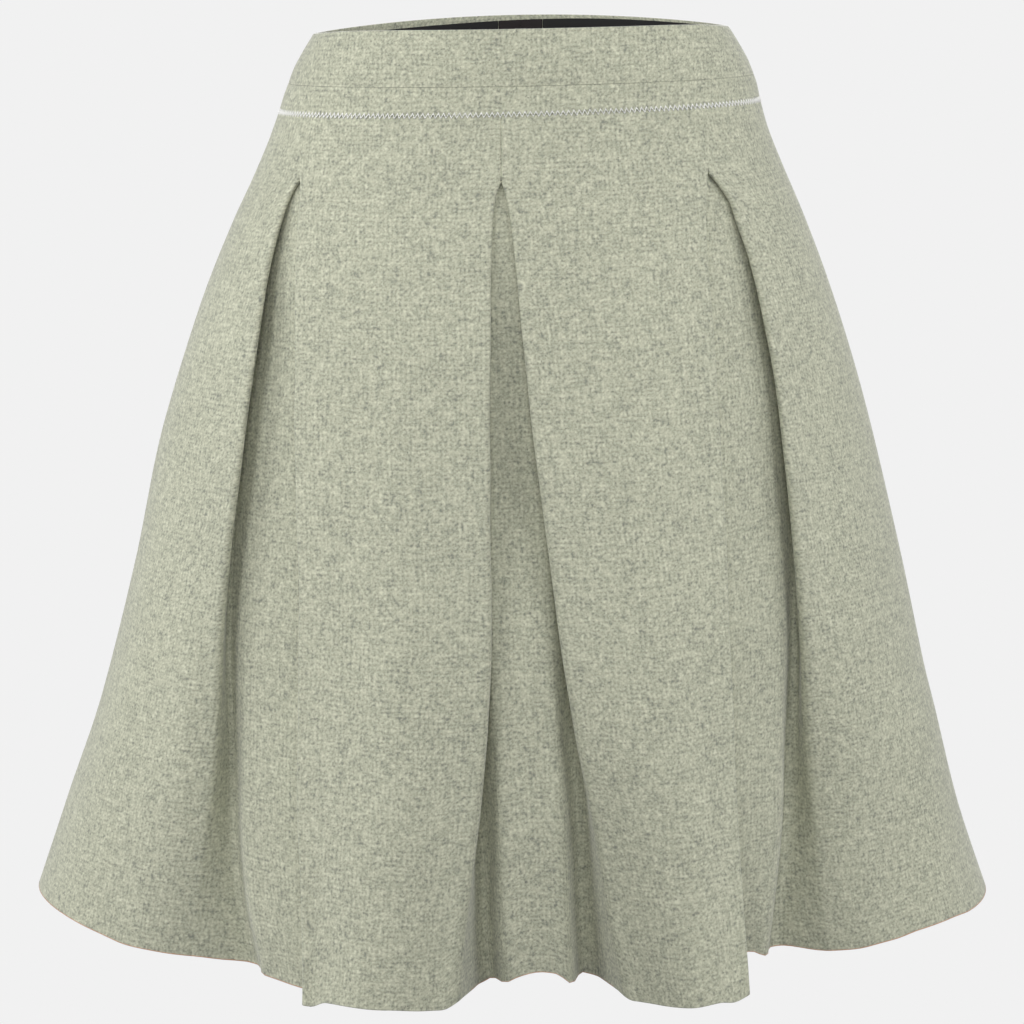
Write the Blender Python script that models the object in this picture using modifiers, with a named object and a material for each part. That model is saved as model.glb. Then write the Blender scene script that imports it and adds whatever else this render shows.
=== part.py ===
"""A-line skirt in thick wool with three inverted box pleats at the front and two at the back.

Metres, +Z up. The front faces -Y. The origin is the middle of the waist opening, level with the
band's top edge at the centre front. Left and right are as seen from the front.

Each level of the skirt has a smooth base outline, and the cloth runs along it. At a pleat the cloth
turns round four folds. A place in a section is (along, dent): the way along the outline from the left
side seam, over the front, and how far inside the outline the middle of the cloth lies.
"""

import math

import bmesh
import bpy
import numpy as np
from mathutils import Matrix

# Driving sizes
MM = 0.001
LENGTH = 0.501
BAND_HEIGHT = 0.0297
STRIP_HEIGHT = 0.0143
STITCHED_DOWN = 0.079
CLOTH = 0.0020
BAND_PROUD = 0.0006
FACING = 0.0010
FACING_SHORT = 0.0020
SEAM_GAP = 0.0003
LEVEL_GAP = 0.0006
BAND_MIDDLE = 0.0150

# How the top edge runs: lower at the sides, higher at the centre back
SIDE_DIP = 0.0030
BACK_RISE = 0.0030

# How far the front hem hangs under its level, by the place across the skirt, in millimetres
HEM_FALL = (
    ("x", "fall"),
    (-265, 0.0),
    (-246, -2.4),
    (-220, 0.0),
    (-165, 1.6),
    (-140, 4.2),
    (-126, 8.0),
    (-112, 2.6),
    (-85, -2.0),
    (-50, 2.6),
    (-22, -2.0),
    (0, 0.8),
    (41, -3.0),
    (72, 2.6),
    (104, -2.0),
    (125, 0.0),
    (148, -2.4),
    (185, 0.0),
)

# Base outline by level: half width, depth to the front and back, sideways lean, rise for each metre to the right
FORM = (
    ("drop", "half_width", "front", "back", "lean", "roll"),
    (0.0000, 0.1150, 0.0868, 0.0868, 0.0000, 0.0185),
    (0.0150, 0.1228, 0.0912, 0.0912, 0.0000, 0.0185),
    (0.0297, 0.1300, 0.0950, 0.0962, 0.0000, 0.0200),
    (0.0440, 0.1345, 0.0985, 0.1018, -0.0008, 0.0260),
    (0.0600, 0.1398, 0.1030, 0.1085, -0.0014, 0.0250),
    (0.0800, 0.1482, 0.1100, 0.1180, -0.0016, 0.0220),
    (0.1050, 0.1597, 0.1190, 0.1290, -0.0020, 0.0190),
    (0.1500, 0.1779, 0.1340, 0.1440, -0.0024, 0.0160),
    (0.2180, 0.1996, 0.1510, 0.1580, -0.0024, 0.0120),
    (0.3000, 0.2195, 0.1680, 0.1700, -0.0014, 0.0080),
    (0.3800, 0.2390, 0.1810, 0.1810, -0.0028, 0.0050),
    (0.4500, 0.2602, 0.1920, 0.1930, -0.0052, 0.0020),
    (0.5020, 0.2775, 0.2010, 0.2030, -0.0046, 0.0000),
)

HEM_FADE = 6

# Levels of the skirt panels, from the strip's lower edge to the hem
PANEL_TOP = BAND_HEIGHT + STRIP_HEIGHT + LEVEL_GAP
PANEL_DROPS = (PANEL_TOP, 0.062, STITCHED_DOWN, 0.098, 0.125, 0.160, 0.205, 0.255, 0.310, 0.370, 0.435, LENGTH)

# Pleats by level. The cloth goes in at one edge of the mouth and comes out at the other. Each edge has its
# place across the skirt, its dent, how far the underlay runs on behind it, the underlay's dent there, and
# the radius of its two folds. All but the drop are in millimetres.
PLEAT_COLUMNS = ("drop", "in_x", "out_x", "in_dent", "out_dent", "in_tuck", "out_tuck",
                 "in_trough", "out_trough", "in_fold", "out_fold")
PLEAT_LEFT = (
    PLEAT_COLUMNS,
    (0.044, -116.3, -113.7, 0, 0, 20, 20, 6.4, 6.4, 1.6, 1.6),
    (0.079, -122.3, -119.7, 0, 0, 20, 20, 6.4, 6.4, 1.6, 1.6),
    (0.098, -130.5, -120.2, 0, 0, 18, 20, 7.0, 6.4, 1.6, 1.6),
    (0.125, -137.0, -121.4, 0, 0, 18, 20, 9.0, 6.6, 1.7, 1.6),
    (0.160, -142.3, -121.3, 0, 0, 17, 20, 11.0, 6.9, 1.8, 1.6),
    (0.205, -148.8, -120.8, 1, 0.5, 15, 20, 13.0, 7.6, 2.0, 1.6),
    (0.255, -154.8, -119.3, 2, 1, 13, 20, 16.0, 8.2, 2.4, 1.6),
    (0.310, -159.0, -118.3, 3, 1.5, 10, 20, 18.0, 9.0, 3.0, 1.6),
    (0.400, -163.5, -120.0, 9, 2, 2, 18, 26.0, 11.0, 4.0, 1.8),
    (0.501, -169.0, -116.5, 21, -1, -16, 16, 36.0, 10.0, 13.0, 1.8),
)
PLEAT_CENTRE = (
    PLEAT_COLUMNS,
    (0.044, -12.0, -9.4, 0, 0, 20, 20, 6.4, 6.4, 1.6, 1.6),
    (0.079, -12.0, -9.4, 0, 0, 20, 20, 6.4, 6.4, 1.6, 1.6),
    (0.098, -16.0, -5.5, 0, 0, 19, 18, 6.6, 6.6, 1.6, 1.6),
    (0.125, -16.7, -1.9, 0, 0, 19, 18, 7.4, 7.4, 1.6, 1.6),
    (0.160, -17.0, 1.5, 0, 0, 19, 17, 9.0, 9.2, 1.8, 1.8),
    (0.205, -17.2, 5.6, 0, 0.5, 18, 16, 12.0, 13.0, 2.0, 2.2),
    (0.255, -17.0, 12.4, -0.5, 0.7, 16, 12, 17.0, 18.0, 2.6, 3.0),
    (0.310, -16.6, 20.0, -1, 1, 13, 8, 23.0, 24.0, 3.5, 4.5),
    (0.400, -22.0, 35.5, -4, -1, 0, -6, 34.0, 36.0, 8.0, 9.0),
    (0.450, -28.0, 44.5, -5, -1.5, -8, -12, 40.0, 44.0, 11.0, 11.5),
    (0.501, -33.1, 55.0, -6, -2, -16, -17, 44.0, 50.0, 14.0, 14.0),
)
PLEAT_RIGHT = (
    PLEAT_COLUMNS,
    (0.044, 94.7, 97.3, 0, 0, 20, 20, 6.4, 6.4, 1.6, 1.6),
    (0.079, 100.1, 102.7, 0, 0, 20, 20, 6.4, 6.4, 1.6, 1.6),
    (0.098, 99.3, 114.7, 0, 0, 20, 18, 6.4, 7.0, 1.6, 1.6),
    (0.125, 99.9, 123.7, 0, 0, 20, 18, 6.4, 9.0, 1.6, 1.7),
    (0.160, 101.9, 132.3, 0, 1, 20, 17, 6.6, 13.0, 1.6, 1.8),
    (0.205, 104.6, 139.6, 0, 3, 20, 16, 7.2, 17.0, 1.6, 2.0),
    (0.255, 107.4, 144.6, -1, 5, 20, 14, 8.2, 22.0, 1.6, 2.4),
    (0.310, 109.9, 147.8, -2, 8, 18, 11, 10.0, 27.0, 1.6, 3.2),
    (0.400, 113.8, 151.5, -6, 17, 15, 2, 23.0, 38.0, 1.8, 6.0),
    (0.460, 117.8, 156.0, -10, 23, 12, -5, 40.0, 46.0, 1.8, 10.0),
    (0.501, 120.3, 162.0, -14, 28, 10, -10, 56.0, 52.0, 1.8, 13.0),
)
PLEAT_BACK_RIGHT = (
    PLEAT_COLUMNS,
    (0.044, 99.3, 96.7, 0, 0, 20, 20, 6.4, 6.4, 1.6, 1.6),
    (0.079, 105.3, 102.7, 0, 0, 20, 20, 6.4, 6.4, 1.6, 1.6),
    (0.098, 113.0, 103.5, 0, 0, 18, 19, 7.0, 6.4, 1.6, 1.6),
    (0.125, 122.0, 104.8, 0, 0, 18, 20, 9.0, 6.8, 1.7, 1.6),
    (0.205, 136.5, 108.8, 2, -1, 15, 20, 15.0, 9.0, 2.0, 1.6),
    (0.310, 149.5, 113.8, 5, -3, 10, 18, 25.0, 16.0, 3.4, 1.8),
    (0.400, 156.8, 117.8, 11, -4, 0, 11, 34.0, 27.0, 6.5, 2.8),
    (0.501, 164.0, 123.0, 20, -4, -12, -6, 45.0, 44.0, 13.0, 9.0),
)
BACK_LEFT_REACH = 0.97

# How far each panel swells out between its folds, by level, in millimetres
SWELLS = (
    ("drop", "side_left", "front_left", "front_right", "side_right", "back_side", "back_centre"),
    (0.079, 0, 0, 0, 0, 0, 0),
    (0.205, 1, 3, 3, -1, 0, 2),
    (0.310, 0, 7, 6, -3, -1, 5),
    (0.400, -2, 14, 11, -3, -3, 7),
    (0.501, -3, 20, 16, -2, -6, 10),
)

# Steps along a section
BACK_STEPS = 20
PANEL_STEPS = 9
FOLD_STEPS = 4
RETURN_STEPS = 2
UNDERLAY_STEPS = 5

# Concealed zip at the centre back
ZIP_END = 0.190
TAPE_TOP = 0.004
TAPE_WIDTH = 0.012
TAPE = 0.0008
CHAIN_WIDTH = 0.0044
CHAIN = 0.0014
SLIDER_DROP = 0.0095
NECK_CLEARANCE = 0.0004
SLIDER_WIDTH = 0.0064
SLIDER_HEIGHT = 0.0080
SLIDER_DEPTH = 0.0024
NECK = 0.0010
NECK_HEIGHT = 0.0036
NECK_TOP = SLIDER_DROP - NECK_HEIGHT / 2 - NECK_CLEARANCE
NECK_FOOT = SLIDER_DROP + NECK_HEIGHT / 2 + NECK_CLEARANCE
SLIDER_END = SLIDER_DROP + SLIDER_HEIGHT / 2 + MM
# Levels between which the centre back opens round the slider's neck
BACK_DROPS = (NECK_TOP - MM, NECK_TOP, NECK_FOOT, NECK_FOOT + MM)
CHAIN_SHORT = 0.0020
EYE_RADIUS = 0.0020
EYE_HOLE = 0.0011
HINGE_OUT = 0.0015
PULL_LENGTH = 0.0235
PULL_WIDTH = 0.0044
PULL_END_WIDTH = 0.0056
PULL = 0.0010
PULL_SLOT = 0.0018

WOOL = ((0.42, 0.43, 0.33), 0.92, 0.0)
FACING_BLACK = ((0.012, 0.011, 0.011), 0.75, 0.0)
TAPE_BLACK = ((0.014, 0.013, 0.013), 0.85, 0.0)
COIL_BLACK = ((0.018, 0.018, 0.018), 0.45, 0.0)
GUNMETAL = ((0.22, 0.21, 0.20), 0.32, 1.0)

# Ways round the outline from the centre front
LEFT_SEAM, RIGHT_SEAM, CENTRE_BACK, LEFT_SEAM_AGAIN = (math.radians(t) for t in (-90, 90, 180, 270))


def clear_scene():
    for old in list(bpy.data.objects):
        bpy.data.objects.remove(old)


def material(name, finish):
    colour, roughness, metallic = finish
    made = bpy.data.materials.new(name)
    made.use_nodes = True
    shader = made.node_tree.nodes["Principled BSDF"]
    shader.inputs["Base Color"].default_value = (*colour, 1)
    shader.inputs["Roughness"].default_value = roughness
    shader.inputs["Metallic"].default_value = metallic
    return made


def read(table, column, place):
    """A column of a table, at this place in its first column, on a smooth curve that never overshoots."""
    rows = np.array(table[1:], float)
    x, y = rows[:, 0], rows[:, table[0].index(column)]
    step = np.diff(x)
    slope = np.diff(y) / step
    turn = np.zeros(len(x))
    turn[0], turn[-1] = slope[0], slope[-1]
    for i in range(1, len(x) - 1):
        if slope[i - 1] * slope[i] > 0:
            before, after = 2 * step[i] + step[i - 1], step[i] + 2 * step[i - 1]
            turn[i] = (before + after) / (before / slope[i - 1] + after / slope[i])
    place = min(max(place, x[0]), x[-1])
    i = min(int(np.searchsorted(x, place, side="right")) - 1, len(step) - 1)
    t = (place - x[i]) / step[i]
    rise = y[i + 1] - y[i]
    return (y[i] + rise * t * t * (3 - 2 * t)
            + step[i] * (turn[i] * t * (1 - t) ** 2 - turn[i + 1] * t * t * (1 - t)))


class Level:
    """The base outline at one drop: an ellipse with its own depth to the front and to the back."""

    SAMPLES = 1441

    def __init__(self, drop):
        self.drop = drop
        self.width, self.front, self.back, self.lean, self.roll = (
            read(FORM, column, drop) for column in FORM[0][1:])
        self.angles = np.linspace(LEFT_SEAM, LEFT_SEAM_AGAIN, self.SAMPLES)
        self.points = self.outline(drop)
        steps = np.hypot(*np.diff(self.points, axis=0).T)
        self.along = np.r_[0, np.cumsum(steps)]
        way = np.gradient(self.points, axis=0)
        way /= np.hypot(*way.T)[:, None]
        self.inward = np.c_[-way[:, 1], way[:, 0]]
        flare = ((self.outline(drop) - self.outline(drop + MM)) * self.inward).sum(axis=1) / MM
        self.slant = np.hypot(1, flare)

    def outline(self, drop):
        width, front, back, lean = (read(FORM, column, drop) for column in ("half_width", "front", "back", "lean"))
        depth = np.where(np.cos(self.angles) > 0, front, back)
        return np.c_[lean + width * np.sin(self.angles), -depth * np.cos(self.angles)]

    def place(self, along, dent):
        """The point this far along the outline and this far inside it."""
        x, y, in_x, in_y = (np.interp(along, self.along, values) for values in (*self.points.T, *self.inward.T))
        return x + dent * in_x, y + dent * in_y

    def under(self, along, depth):
        """The point this far under the sloping outer face, measured square to the cloth."""
        return self.place(along, depth * np.interp(along, self.along, self.slant))

    def at_angle(self, angle):
        return float(np.interp(angle, self.angles, self.along))

    def at_x(self, x, dent, back):
        """How far along the outline a point of this dent stands that far across the skirt."""
        sideways = x
        for _ in range(6):
            share = min(max((sideways - self.lean) / self.width, -0.995), 0.995)
            angle = math.pi - math.asin(share) if back else math.asin(share)
            along = self.at_angle(angle)
            sideways += x - self.place(along, dent)[0]
        return along

    def height(self, x, y):
        """Height of the cloth there. The top edge dips at the sides, and every seam rises to the right."""
        share = min(abs(x - self.lean) / self.width, 1)
        edge = -SIDE_DIP * share ** 8 if y < 0 else BACK_RISE - (BACK_RISE + SIDE_DIP) * share ** 2
        fade = max(0.0, 1 - self.drop / BAND_HEIGHT)
        fall = read(HEM_FALL, "fall", x / MM) * MM * (self.drop / LENGTH) ** HEM_FADE if y < 0 else 0.0
        return -self.drop + self.roll * x + edge * fade - fall


def between(first, last, steps):
    """Even steps from first to last, without first."""
    return [first + (last - first) * i / steps for i in range(1, steps + 1)]


def turned(centre, radius, start, sweep, side, steps):
    """Points of the cloth as it turns round a fold, from the heading start by the angle sweep."""
    points = []
    for heading in [start] + between(start, start + sweep, steps):
        left = (-math.sin(heading), math.cos(heading))
        points.append((centre[0] - side * radius * left[0], centre[1] - side * radius * left[1]))
    return points


def heading_between(first, last):
    """Heading of the straight cloth that leaves one fold and reaches the next. A fold is (centre, radius, side)."""
    (start, radius_1, side_1), (end, radius_2, side_2) = first, last
    across, down = end[0] - start[0], end[1] - start[1]
    reach = math.hypot(across, down)
    shift = side_2 * radius_2 - side_1 * radius_1
    if abs(shift) >= reach:
        raise ValueError(f"two folds of a pleat touch: {reach:.4f} m apart, {abs(shift):.4f} m needed")
    return math.atan2(down, across) - math.asin(shift / reach)


def sweep_from(start, end, side):
    """How far the heading turns at a fold. A turn the other way is only ever a slight one."""
    turn = (end - start) * side % (2 * math.pi)
    return side * (turn - 2 * math.pi if turn > 1.5 * math.pi else turn)


def pleat_section(level, pleat, back):
    """The cloth from the crest of a pleat's first fold to the crest of its last, as (along, dent)."""
    value = {name: read(pleat, name, level.drop) * MM for name in pleat[0][1:]}
    inside = CLOTH / 2
    edge_in = level.at_x(value["in_x"], value["in_dent"], back)
    edge_out = level.at_x(value["out_x"], value["out_dent"], back)
    first, last = value["in_fold"], value["out_fold"]
    folds = [
        ((edge_in - first, inside + value["in_dent"] + first), first, 1),
        ((edge_in - value["in_tuck"] + first, inside + value["in_trough"] - first), first, -1),
        ((edge_out + value["out_tuck"] - last, inside + value["out_trough"] - last), last, -1),
        ((edge_out + last, inside + value["out_dent"] + last), last, 1),
    ]
    headings = [0.0] + [heading_between(a, b) for a, b in zip(folds, folds[1:])] + [0.0]
    stretches = (RETURN_STEPS, UNDERLAY_STEPS, RETURN_STEPS)
    path = []
    for i, (centre, radius, side) in enumerate(folds):
        sweep = sweep_from(headings[i], headings[i + 1], side)
        arc = turned(centre, radius, headings[i], sweep, side, FOLD_STEPS)
        if path:
            path += list(zip(*(between(a, b, stretches[i - 1]) for a, b in zip(path[-1], arc[0]))))[:-1]
        path += arc
    return path


def panel_section(start, end, swell):
    """The cloth between two pleats or seams, eased from one dent to the other, with its swell."""
    points = []
    for t in between(0.0, 1.0, PANEL_STEPS)[:-1]:
        ease = t * t * (3 - 2 * t)
        along = start[0] + (end[0] - start[0]) * t
        points.append((along, start[1] + (end[1] - start[1]) * ease - swell * math.sin(math.pi * t) ** 2))
    return points


def skirt_section(level, start, end, pleats, swells):
    """One level of a skirt panel as world points, from the seam at start to the seam at end."""
    back = start >= RIGHT_SEAM
    stops = [[(level.at_angle(start) + SEAM_GAP / 2, CLOTH / 2)]]
    stops += [pleat_section(level, pleat, back) for pleat in pleats]
    stops += [[(level.at_angle(end) - SEAM_GAP / 2, CLOTH / 2)]]
    path = list(stops[0])
    for before, after, swell in zip(stops, stops[1:], swells):
        path += panel_section(before[-1], after[0], read(SWELLS, swell, level.drop) * MM)
        path += after
    points = []
    for along, dent in path:
        slant = np.interp(along, level.along, level.slant)
        x, y = level.place(along, dent + CLOTH / 2 * (slant - 1))
        points.append((x, y, level.height(x, y)))
    return points


def wall(name, rows, thickness, finish, collection):
    """A cloth wall: the surface through rows of points, with its thickness half to each side."""
    mesh = bpy.data.meshes.new(name)
    build = bmesh.new()
    grid = [[build.verts.new(point) for point in row] for row in rows]
    for upper, lower in zip(grid, grid[1:]):
        for i in range(len(upper) - 1):
            build.faces.new((upper[i], lower[i], lower[i + 1], upper[i + 1]))
    build.to_mesh(mesh)
    build.free()
    mesh.shade_smooth()
    made = bpy.data.objects.new(name, mesh)
    collection.objects.link(made)
    mesh.materials.append(finish)
    solidify = made.modifiers.new("Cloth", "SOLIDIFY")
    solidify.thickness = thickness
    solidify.offset = 0
    solidify.use_even_offset = True
    return made


def band_rows(drops, start, end, steps, outer, thickness, start_gap, end_gap):
    """Rows of a plain wall between two angles. outer is how far inside the outline its outer face lies."""
    rows = []
    for drop in drops:
        level = Level(drop)
        first = level.at_angle(start) + start_gap(drop)
        last = level.at_angle(end) - end_gap(drop)
        row = []
        for along in [first] + between(first, last, steps):
            x, y = level.under(along, outer + thickness / 2)
            row.append((x, y, level.height(x, y)))
        rows.append(row)
    return rows


def seam(drop):
    return SEAM_GAP / 2


def zip_seam(drop):
    """Half the gap at the centre back: wider where the slider's neck stands in it."""
    return NECK / 2 + NECK_CLEARANCE if NECK_TOP <= drop <= NECK_FOOT else SEAM_GAP


def tape_edge(drop):
    return TAPE_WIDTH + SEAM_GAP + zip_seam(SLIDER_DROP)


def make_panels(wool, collection):
    panels = (
        ("skirt_front", LEFT_SEAM, RIGHT_SEAM, (PLEAT_LEFT, PLEAT_CENTRE, PLEAT_RIGHT),
         ("side_left", "front_left", "front_right", "side_right")),
        ("skirt_back_right", RIGHT_SEAM, CENTRE_BACK, (PLEAT_BACK_RIGHT,), ("back_side", "back_centre")),
        ("skirt_back_left", CENTRE_BACK, LEFT_SEAM_AGAIN, (mirrored(PLEAT_BACK_RIGHT, BACK_LEFT_REACH),),
         ("back_centre", "back_side")),
    )
    for name, start, end, pleats, swells in panels:
        rows = [skirt_section(Level(drop), start, end, pleats, swells) for drop in PANEL_DROPS]
        wall(name, rows, CLOTH, wool, collection)


def mirrored(pleat, reach):
    """The same pleat on the other side, its mouth at this share of the distance from the middle."""
    rows = [pleat[0]]
    for drop, in_x, out_x, *pairs in pleat[1:]:
        swapped = [value for i in range(0, len(pairs), 2) for value in (pairs[i + 1], pairs[i])]
        middle, half = -(in_x + out_x) / 2 * reach, abs(in_x - out_x) / 2
        rows.append((drop, middle + half, middle - half, *swapped))
    return tuple(rows)


def make_bands(wool, black, collection):
    """The waistband, the strip under it and the facing inside, each in a front and two back pieces."""
    front_drops, back_drops = (BAND_MIDDLE,), (*BACK_DROPS, BAND_MIDDLE)
    pieces = (
        ("front", LEFT_SEAM, RIGHT_SEAM, 2 * BACK_STEPS, front_drops, seam, seam, seam, seam),
        ("back_right", RIGHT_SEAM, CENTRE_BACK, BACK_STEPS, back_drops, seam, zip_seam, seam, tape_edge),
        ("back_left", CENTRE_BACK, LEFT_SEAM_AGAIN, BACK_STEPS, back_drops, zip_seam, seam, tape_edge, seam),
    )
    strip_top, strip_end = BAND_HEIGHT + LEVEL_GAP, BAND_HEIGHT + STRIP_HEIGHT
    for side, start, end, steps, middle, gap_in, gap_out, facing_in, facing_out in pieces:
        drops = (0.0, *middle, BAND_HEIGHT)
        rows = band_rows(drops, start, end, steps, -BAND_PROUD, CLOTH + BAND_PROUD, gap_in, gap_out)
        wall("waistband_" + side, rows, CLOTH + BAND_PROUD, wool, collection)
        rows = band_rows((strip_top, strip_end), start, end, steps, 0.0, CLOTH, gap_in, gap_out)
        wall("yoke_strip_" + side, rows, CLOTH, wool, collection)
        drops = (TAPE_TOP, BAND_MIDDLE, BAND_HEIGHT, strip_end - FACING_SHORT)
        rows = band_rows(drops, start, end, steps, CLOTH + SEAM_GAP, FACING, facing_in, facing_out)
        wall("facing_" + side, rows, FACING, black, collection)


def make_zip_cloth(tape_black, coil_black, collection):
    """The two tapes against the inside of the centre back, and the closed chain behind them."""
    lower = [drop for drop in (BAND_HEIGHT, *PANEL_DROPS) if drop < ZIP_END]
    drops = [TAPE_TOP, *BACK_DROPS, BAND_MIDDLE, *lower, ZIP_END]
    tape_inside = CLOTH + SEAM_GAP

    def far_edge(drop):
        return -TAPE_WIDTH - zip_seam(SLIDER_DROP)

    def half_chain(drop):
        return -CHAIN_WIDTH / 2

    for side, *edges in (("left", zip_seam, far_edge), ("right", far_edge, zip_seam)):
        rows = band_rows(drops, CENTRE_BACK, CENTRE_BACK, 2, tape_inside, TAPE, *edges)
        wall("zip_tape_" + side, rows, TAPE, tape_black, collection)
    chain_drops = [SLIDER_END, *lower, ZIP_END - CHAIN_SHORT]
    chain_inside = tape_inside + TAPE + SEAM_GAP
    rows = band_rows(chain_drops, CENTRE_BACK, CENTRE_BACK, 2, chain_inside, CHAIN, half_chain, half_chain)
    wall("zip_chain", rows, CHAIN, coil_black, collection)


def hinge_place():
    """The pull tab's axis: its point, and how far the band leans out from upright there."""
    level, below = Level(SLIDER_DROP), Level(SLIDER_DROP + MM)
    along = level.at_angle(CENTRE_BACK)
    x, y = level.place(along, -BAND_PROUD)
    lean = math.atan2(below.back - level.back, MM)
    height = level.height(x, y)
    return (x, y + HINGE_OUT * math.cos(lean), height + HINGE_OUT * math.sin(lean)), lean


def box(name, size, centre, collection):
    bpy.ops.mesh.primitive_cube_add(size=1, location=(0, 0, 0))
    made = bpy.context.object
    made.name = name
    for vertex in made.data.vertices:
        vertex.co = [c + v * s for c, v, s in zip(centre, vertex.co, size)]
    move_to(made, collection)
    return made


def cross_pin(name, radius, length, collection):
    """A cylinder along X round the hinge's axis."""
    bpy.ops.mesh.primitive_cylinder_add(vertices=20, radius=radius, depth=length)
    made = bpy.context.object
    made.name = name
    for vertex in made.data.vertices:
        x, y, z = vertex.co
        vertex.co = (z, y, -x)
    move_to(made, collection)
    return made


def move_to(made, collection):
    for old in list(made.users_collection):
        old.objects.unlink(made)
    collection.objects.link(made)


def combine(target, other, operation):
    boolean = target.modifiers.new(other.name, "BOOLEAN")
    boolean.operation = operation
    boolean.object = other
    other.hide_render = True
    other.display_type = "WIRE"
    other.parent = target


def make_slider(metal, collection, helpers):
    """The slider's body inside, its neck through the seam and the eye that carries the pull tab."""
    inner_face = HINGE_OUT + BAND_PROUD + CLOTH + SEAM_GAP + TAPE + SEAM_GAP
    slider = box("zip_slider", (SLIDER_WIDTH, SLIDER_DEPTH, SLIDER_HEIGHT),
                 (0, -inner_face - SLIDER_DEPTH / 2, 0), collection)
    neck_end = inner_face + SLIDER_DEPTH / 2
    neck = box("neck", (NECK, neck_end - EYE_HOLE, NECK_HEIGHT), (0, -(neck_end + EYE_HOLE) / 2, 0), helpers)
    eye = cross_pin("eye", EYE_RADIUS, NECK, helpers)
    hole = cross_pin("eye_hole", EYE_HOLE, 3 * NECK, helpers)
    combine(slider, neck, "UNION")
    combine(slider, eye, "UNION")
    combine(slider, hole, "DIFFERENCE")
    slider.data.materials.append(metal)
    return slider


def make_pull(metal, collection):
    """The pull tab: a flat outline with a slot under its top bar, which passes through the slider's eye."""
    curve = bpy.data.curves.new("zip_pull", "CURVE")
    curve.dimensions = "2D"
    curve.fill_mode = "BOTH"
    curve.extrude = PULL / 2
    bar = PULL / 2
    slot_end = EYE_RADIUS + NECK_CLEARANCE
    shoulder, foot = PULL_WIDTH / 2, PULL_END_WIDTH / 2
    round_end = [(foot * math.cos(t), foot - PULL_LENGTH + foot * math.sin(t))
                 for t in np.linspace(0, -math.pi, 9)]
    outlines = (
        [(-shoulder, bar), (shoulder, bar), (shoulder, -slot_end - MM)] + round_end
        + [(-shoulder, -slot_end - MM)],
        [(-PULL_SLOT / 2, -bar), (-PULL_SLOT / 2, -slot_end), (PULL_SLOT / 2, -slot_end), (PULL_SLOT / 2, -bar)],
    )
    for outline in outlines:
        spline = curve.splines.new("POLY")
        spline.points.add(len(outline) - 1)
        spline.use_cyclic_u = True
        for point, (x, z) in zip(spline.points, outline):
            point.co = (x, z, 0, 1)
    flat = bpy.data.objects.new("zip_pull_outline", curve)
    collection.objects.link(flat)
    graph = bpy.context.evaluated_depsgraph_get()
    mesh = bpy.data.meshes.new_from_object(flat.evaluated_get(graph))
    bpy.data.objects.remove(flat)
    build = bmesh.new()
    build.from_mesh(mesh)
    bmesh.ops.remove_doubles(build, verts=build.verts, dist=1e-6)
    bmesh.ops.rotate(build, verts=build.verts, cent=(0, 0, 0), matrix=Matrix.Rotation(math.pi / 2, 3, "X"))
    bmesh.ops.recalc_face_normals(build, faces=build.faces)
    build.to_mesh(mesh)
    build.free()
    mesh.name = "zip_pull"
    mesh.materials.clear()
    mesh.materials.append(metal)
    pull = bpy.data.objects.new("zip_pull", mesh)
    collection.objects.link(pull)
    return pull


def main():
    clear_scene()
    collection = bpy.data.collections.new("pleated_skirt")
    helpers = bpy.data.collections.new("cutters")
    for made in (collection, helpers):
        bpy.context.scene.collection.children.link(made)
    wool = material("wool", WOOL)
    make_panels(wool, collection)
    make_bands(wool, material("facing_cloth", FACING_BLACK), collection)
    make_zip_cloth(material("zip_tape", TAPE_BLACK), material("zip_coil", COIL_BLACK), collection)
    place, lean = hinge_place()
    slider = make_slider(material("slider_metal", GUNMETAL), collection, helpers)
    pull = make_pull(material("pull_metal", GUNMETAL), collection)
    for piece in (slider, pull):
        piece.location = place
        piece.rotation_euler = (lean, 0, 0)
    print("hinge", [round(v, 5) for v in place], "lean", round(math.degrees(lean), 2))


main()
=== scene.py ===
"""A short pleated skirt in brushed melange wool, dressed over its solid model.

Metres, +Z up. The front faces -Y, and the origin is the middle of the waist opening.
The wool is laid in level sections. At each level the cloth runs along a base outline, and at a pleat it
turns round four folds. A place in a section is (along, dent): the way along the outline from the left side
seam over the front, and how far inside the outline it lies.
"""

import collections
import functools
import math

import bmesh
import bpy
import numpy as np
from bpy.props import FloatProperty, FloatVectorProperty, PointerProperty
from mathutils import Matrix, Vector, noise


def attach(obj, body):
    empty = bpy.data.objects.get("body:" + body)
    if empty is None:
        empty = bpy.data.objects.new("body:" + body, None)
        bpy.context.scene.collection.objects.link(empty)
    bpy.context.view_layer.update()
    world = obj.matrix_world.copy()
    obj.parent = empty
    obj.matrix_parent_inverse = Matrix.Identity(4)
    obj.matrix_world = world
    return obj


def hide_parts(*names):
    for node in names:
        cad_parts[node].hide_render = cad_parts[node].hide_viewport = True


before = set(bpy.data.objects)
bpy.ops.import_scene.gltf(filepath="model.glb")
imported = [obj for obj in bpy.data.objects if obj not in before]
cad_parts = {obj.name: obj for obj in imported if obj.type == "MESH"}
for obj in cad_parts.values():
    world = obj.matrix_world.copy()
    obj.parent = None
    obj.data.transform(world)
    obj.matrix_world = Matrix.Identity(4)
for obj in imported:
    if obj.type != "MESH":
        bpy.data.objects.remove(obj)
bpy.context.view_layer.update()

bl_info = {
    "name": "Pleated Wool Skirt",
    "version": (1, 0, 0),
    "blender": (4, 5, 0),
    "location": "3D View > Sidebar > Skirt",
    "description": "Dresses the pleated skirt: wool panels, bands, facing, zip, stitching and the stage",
    "category": "Object",
}

MM = 0.001

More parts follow.
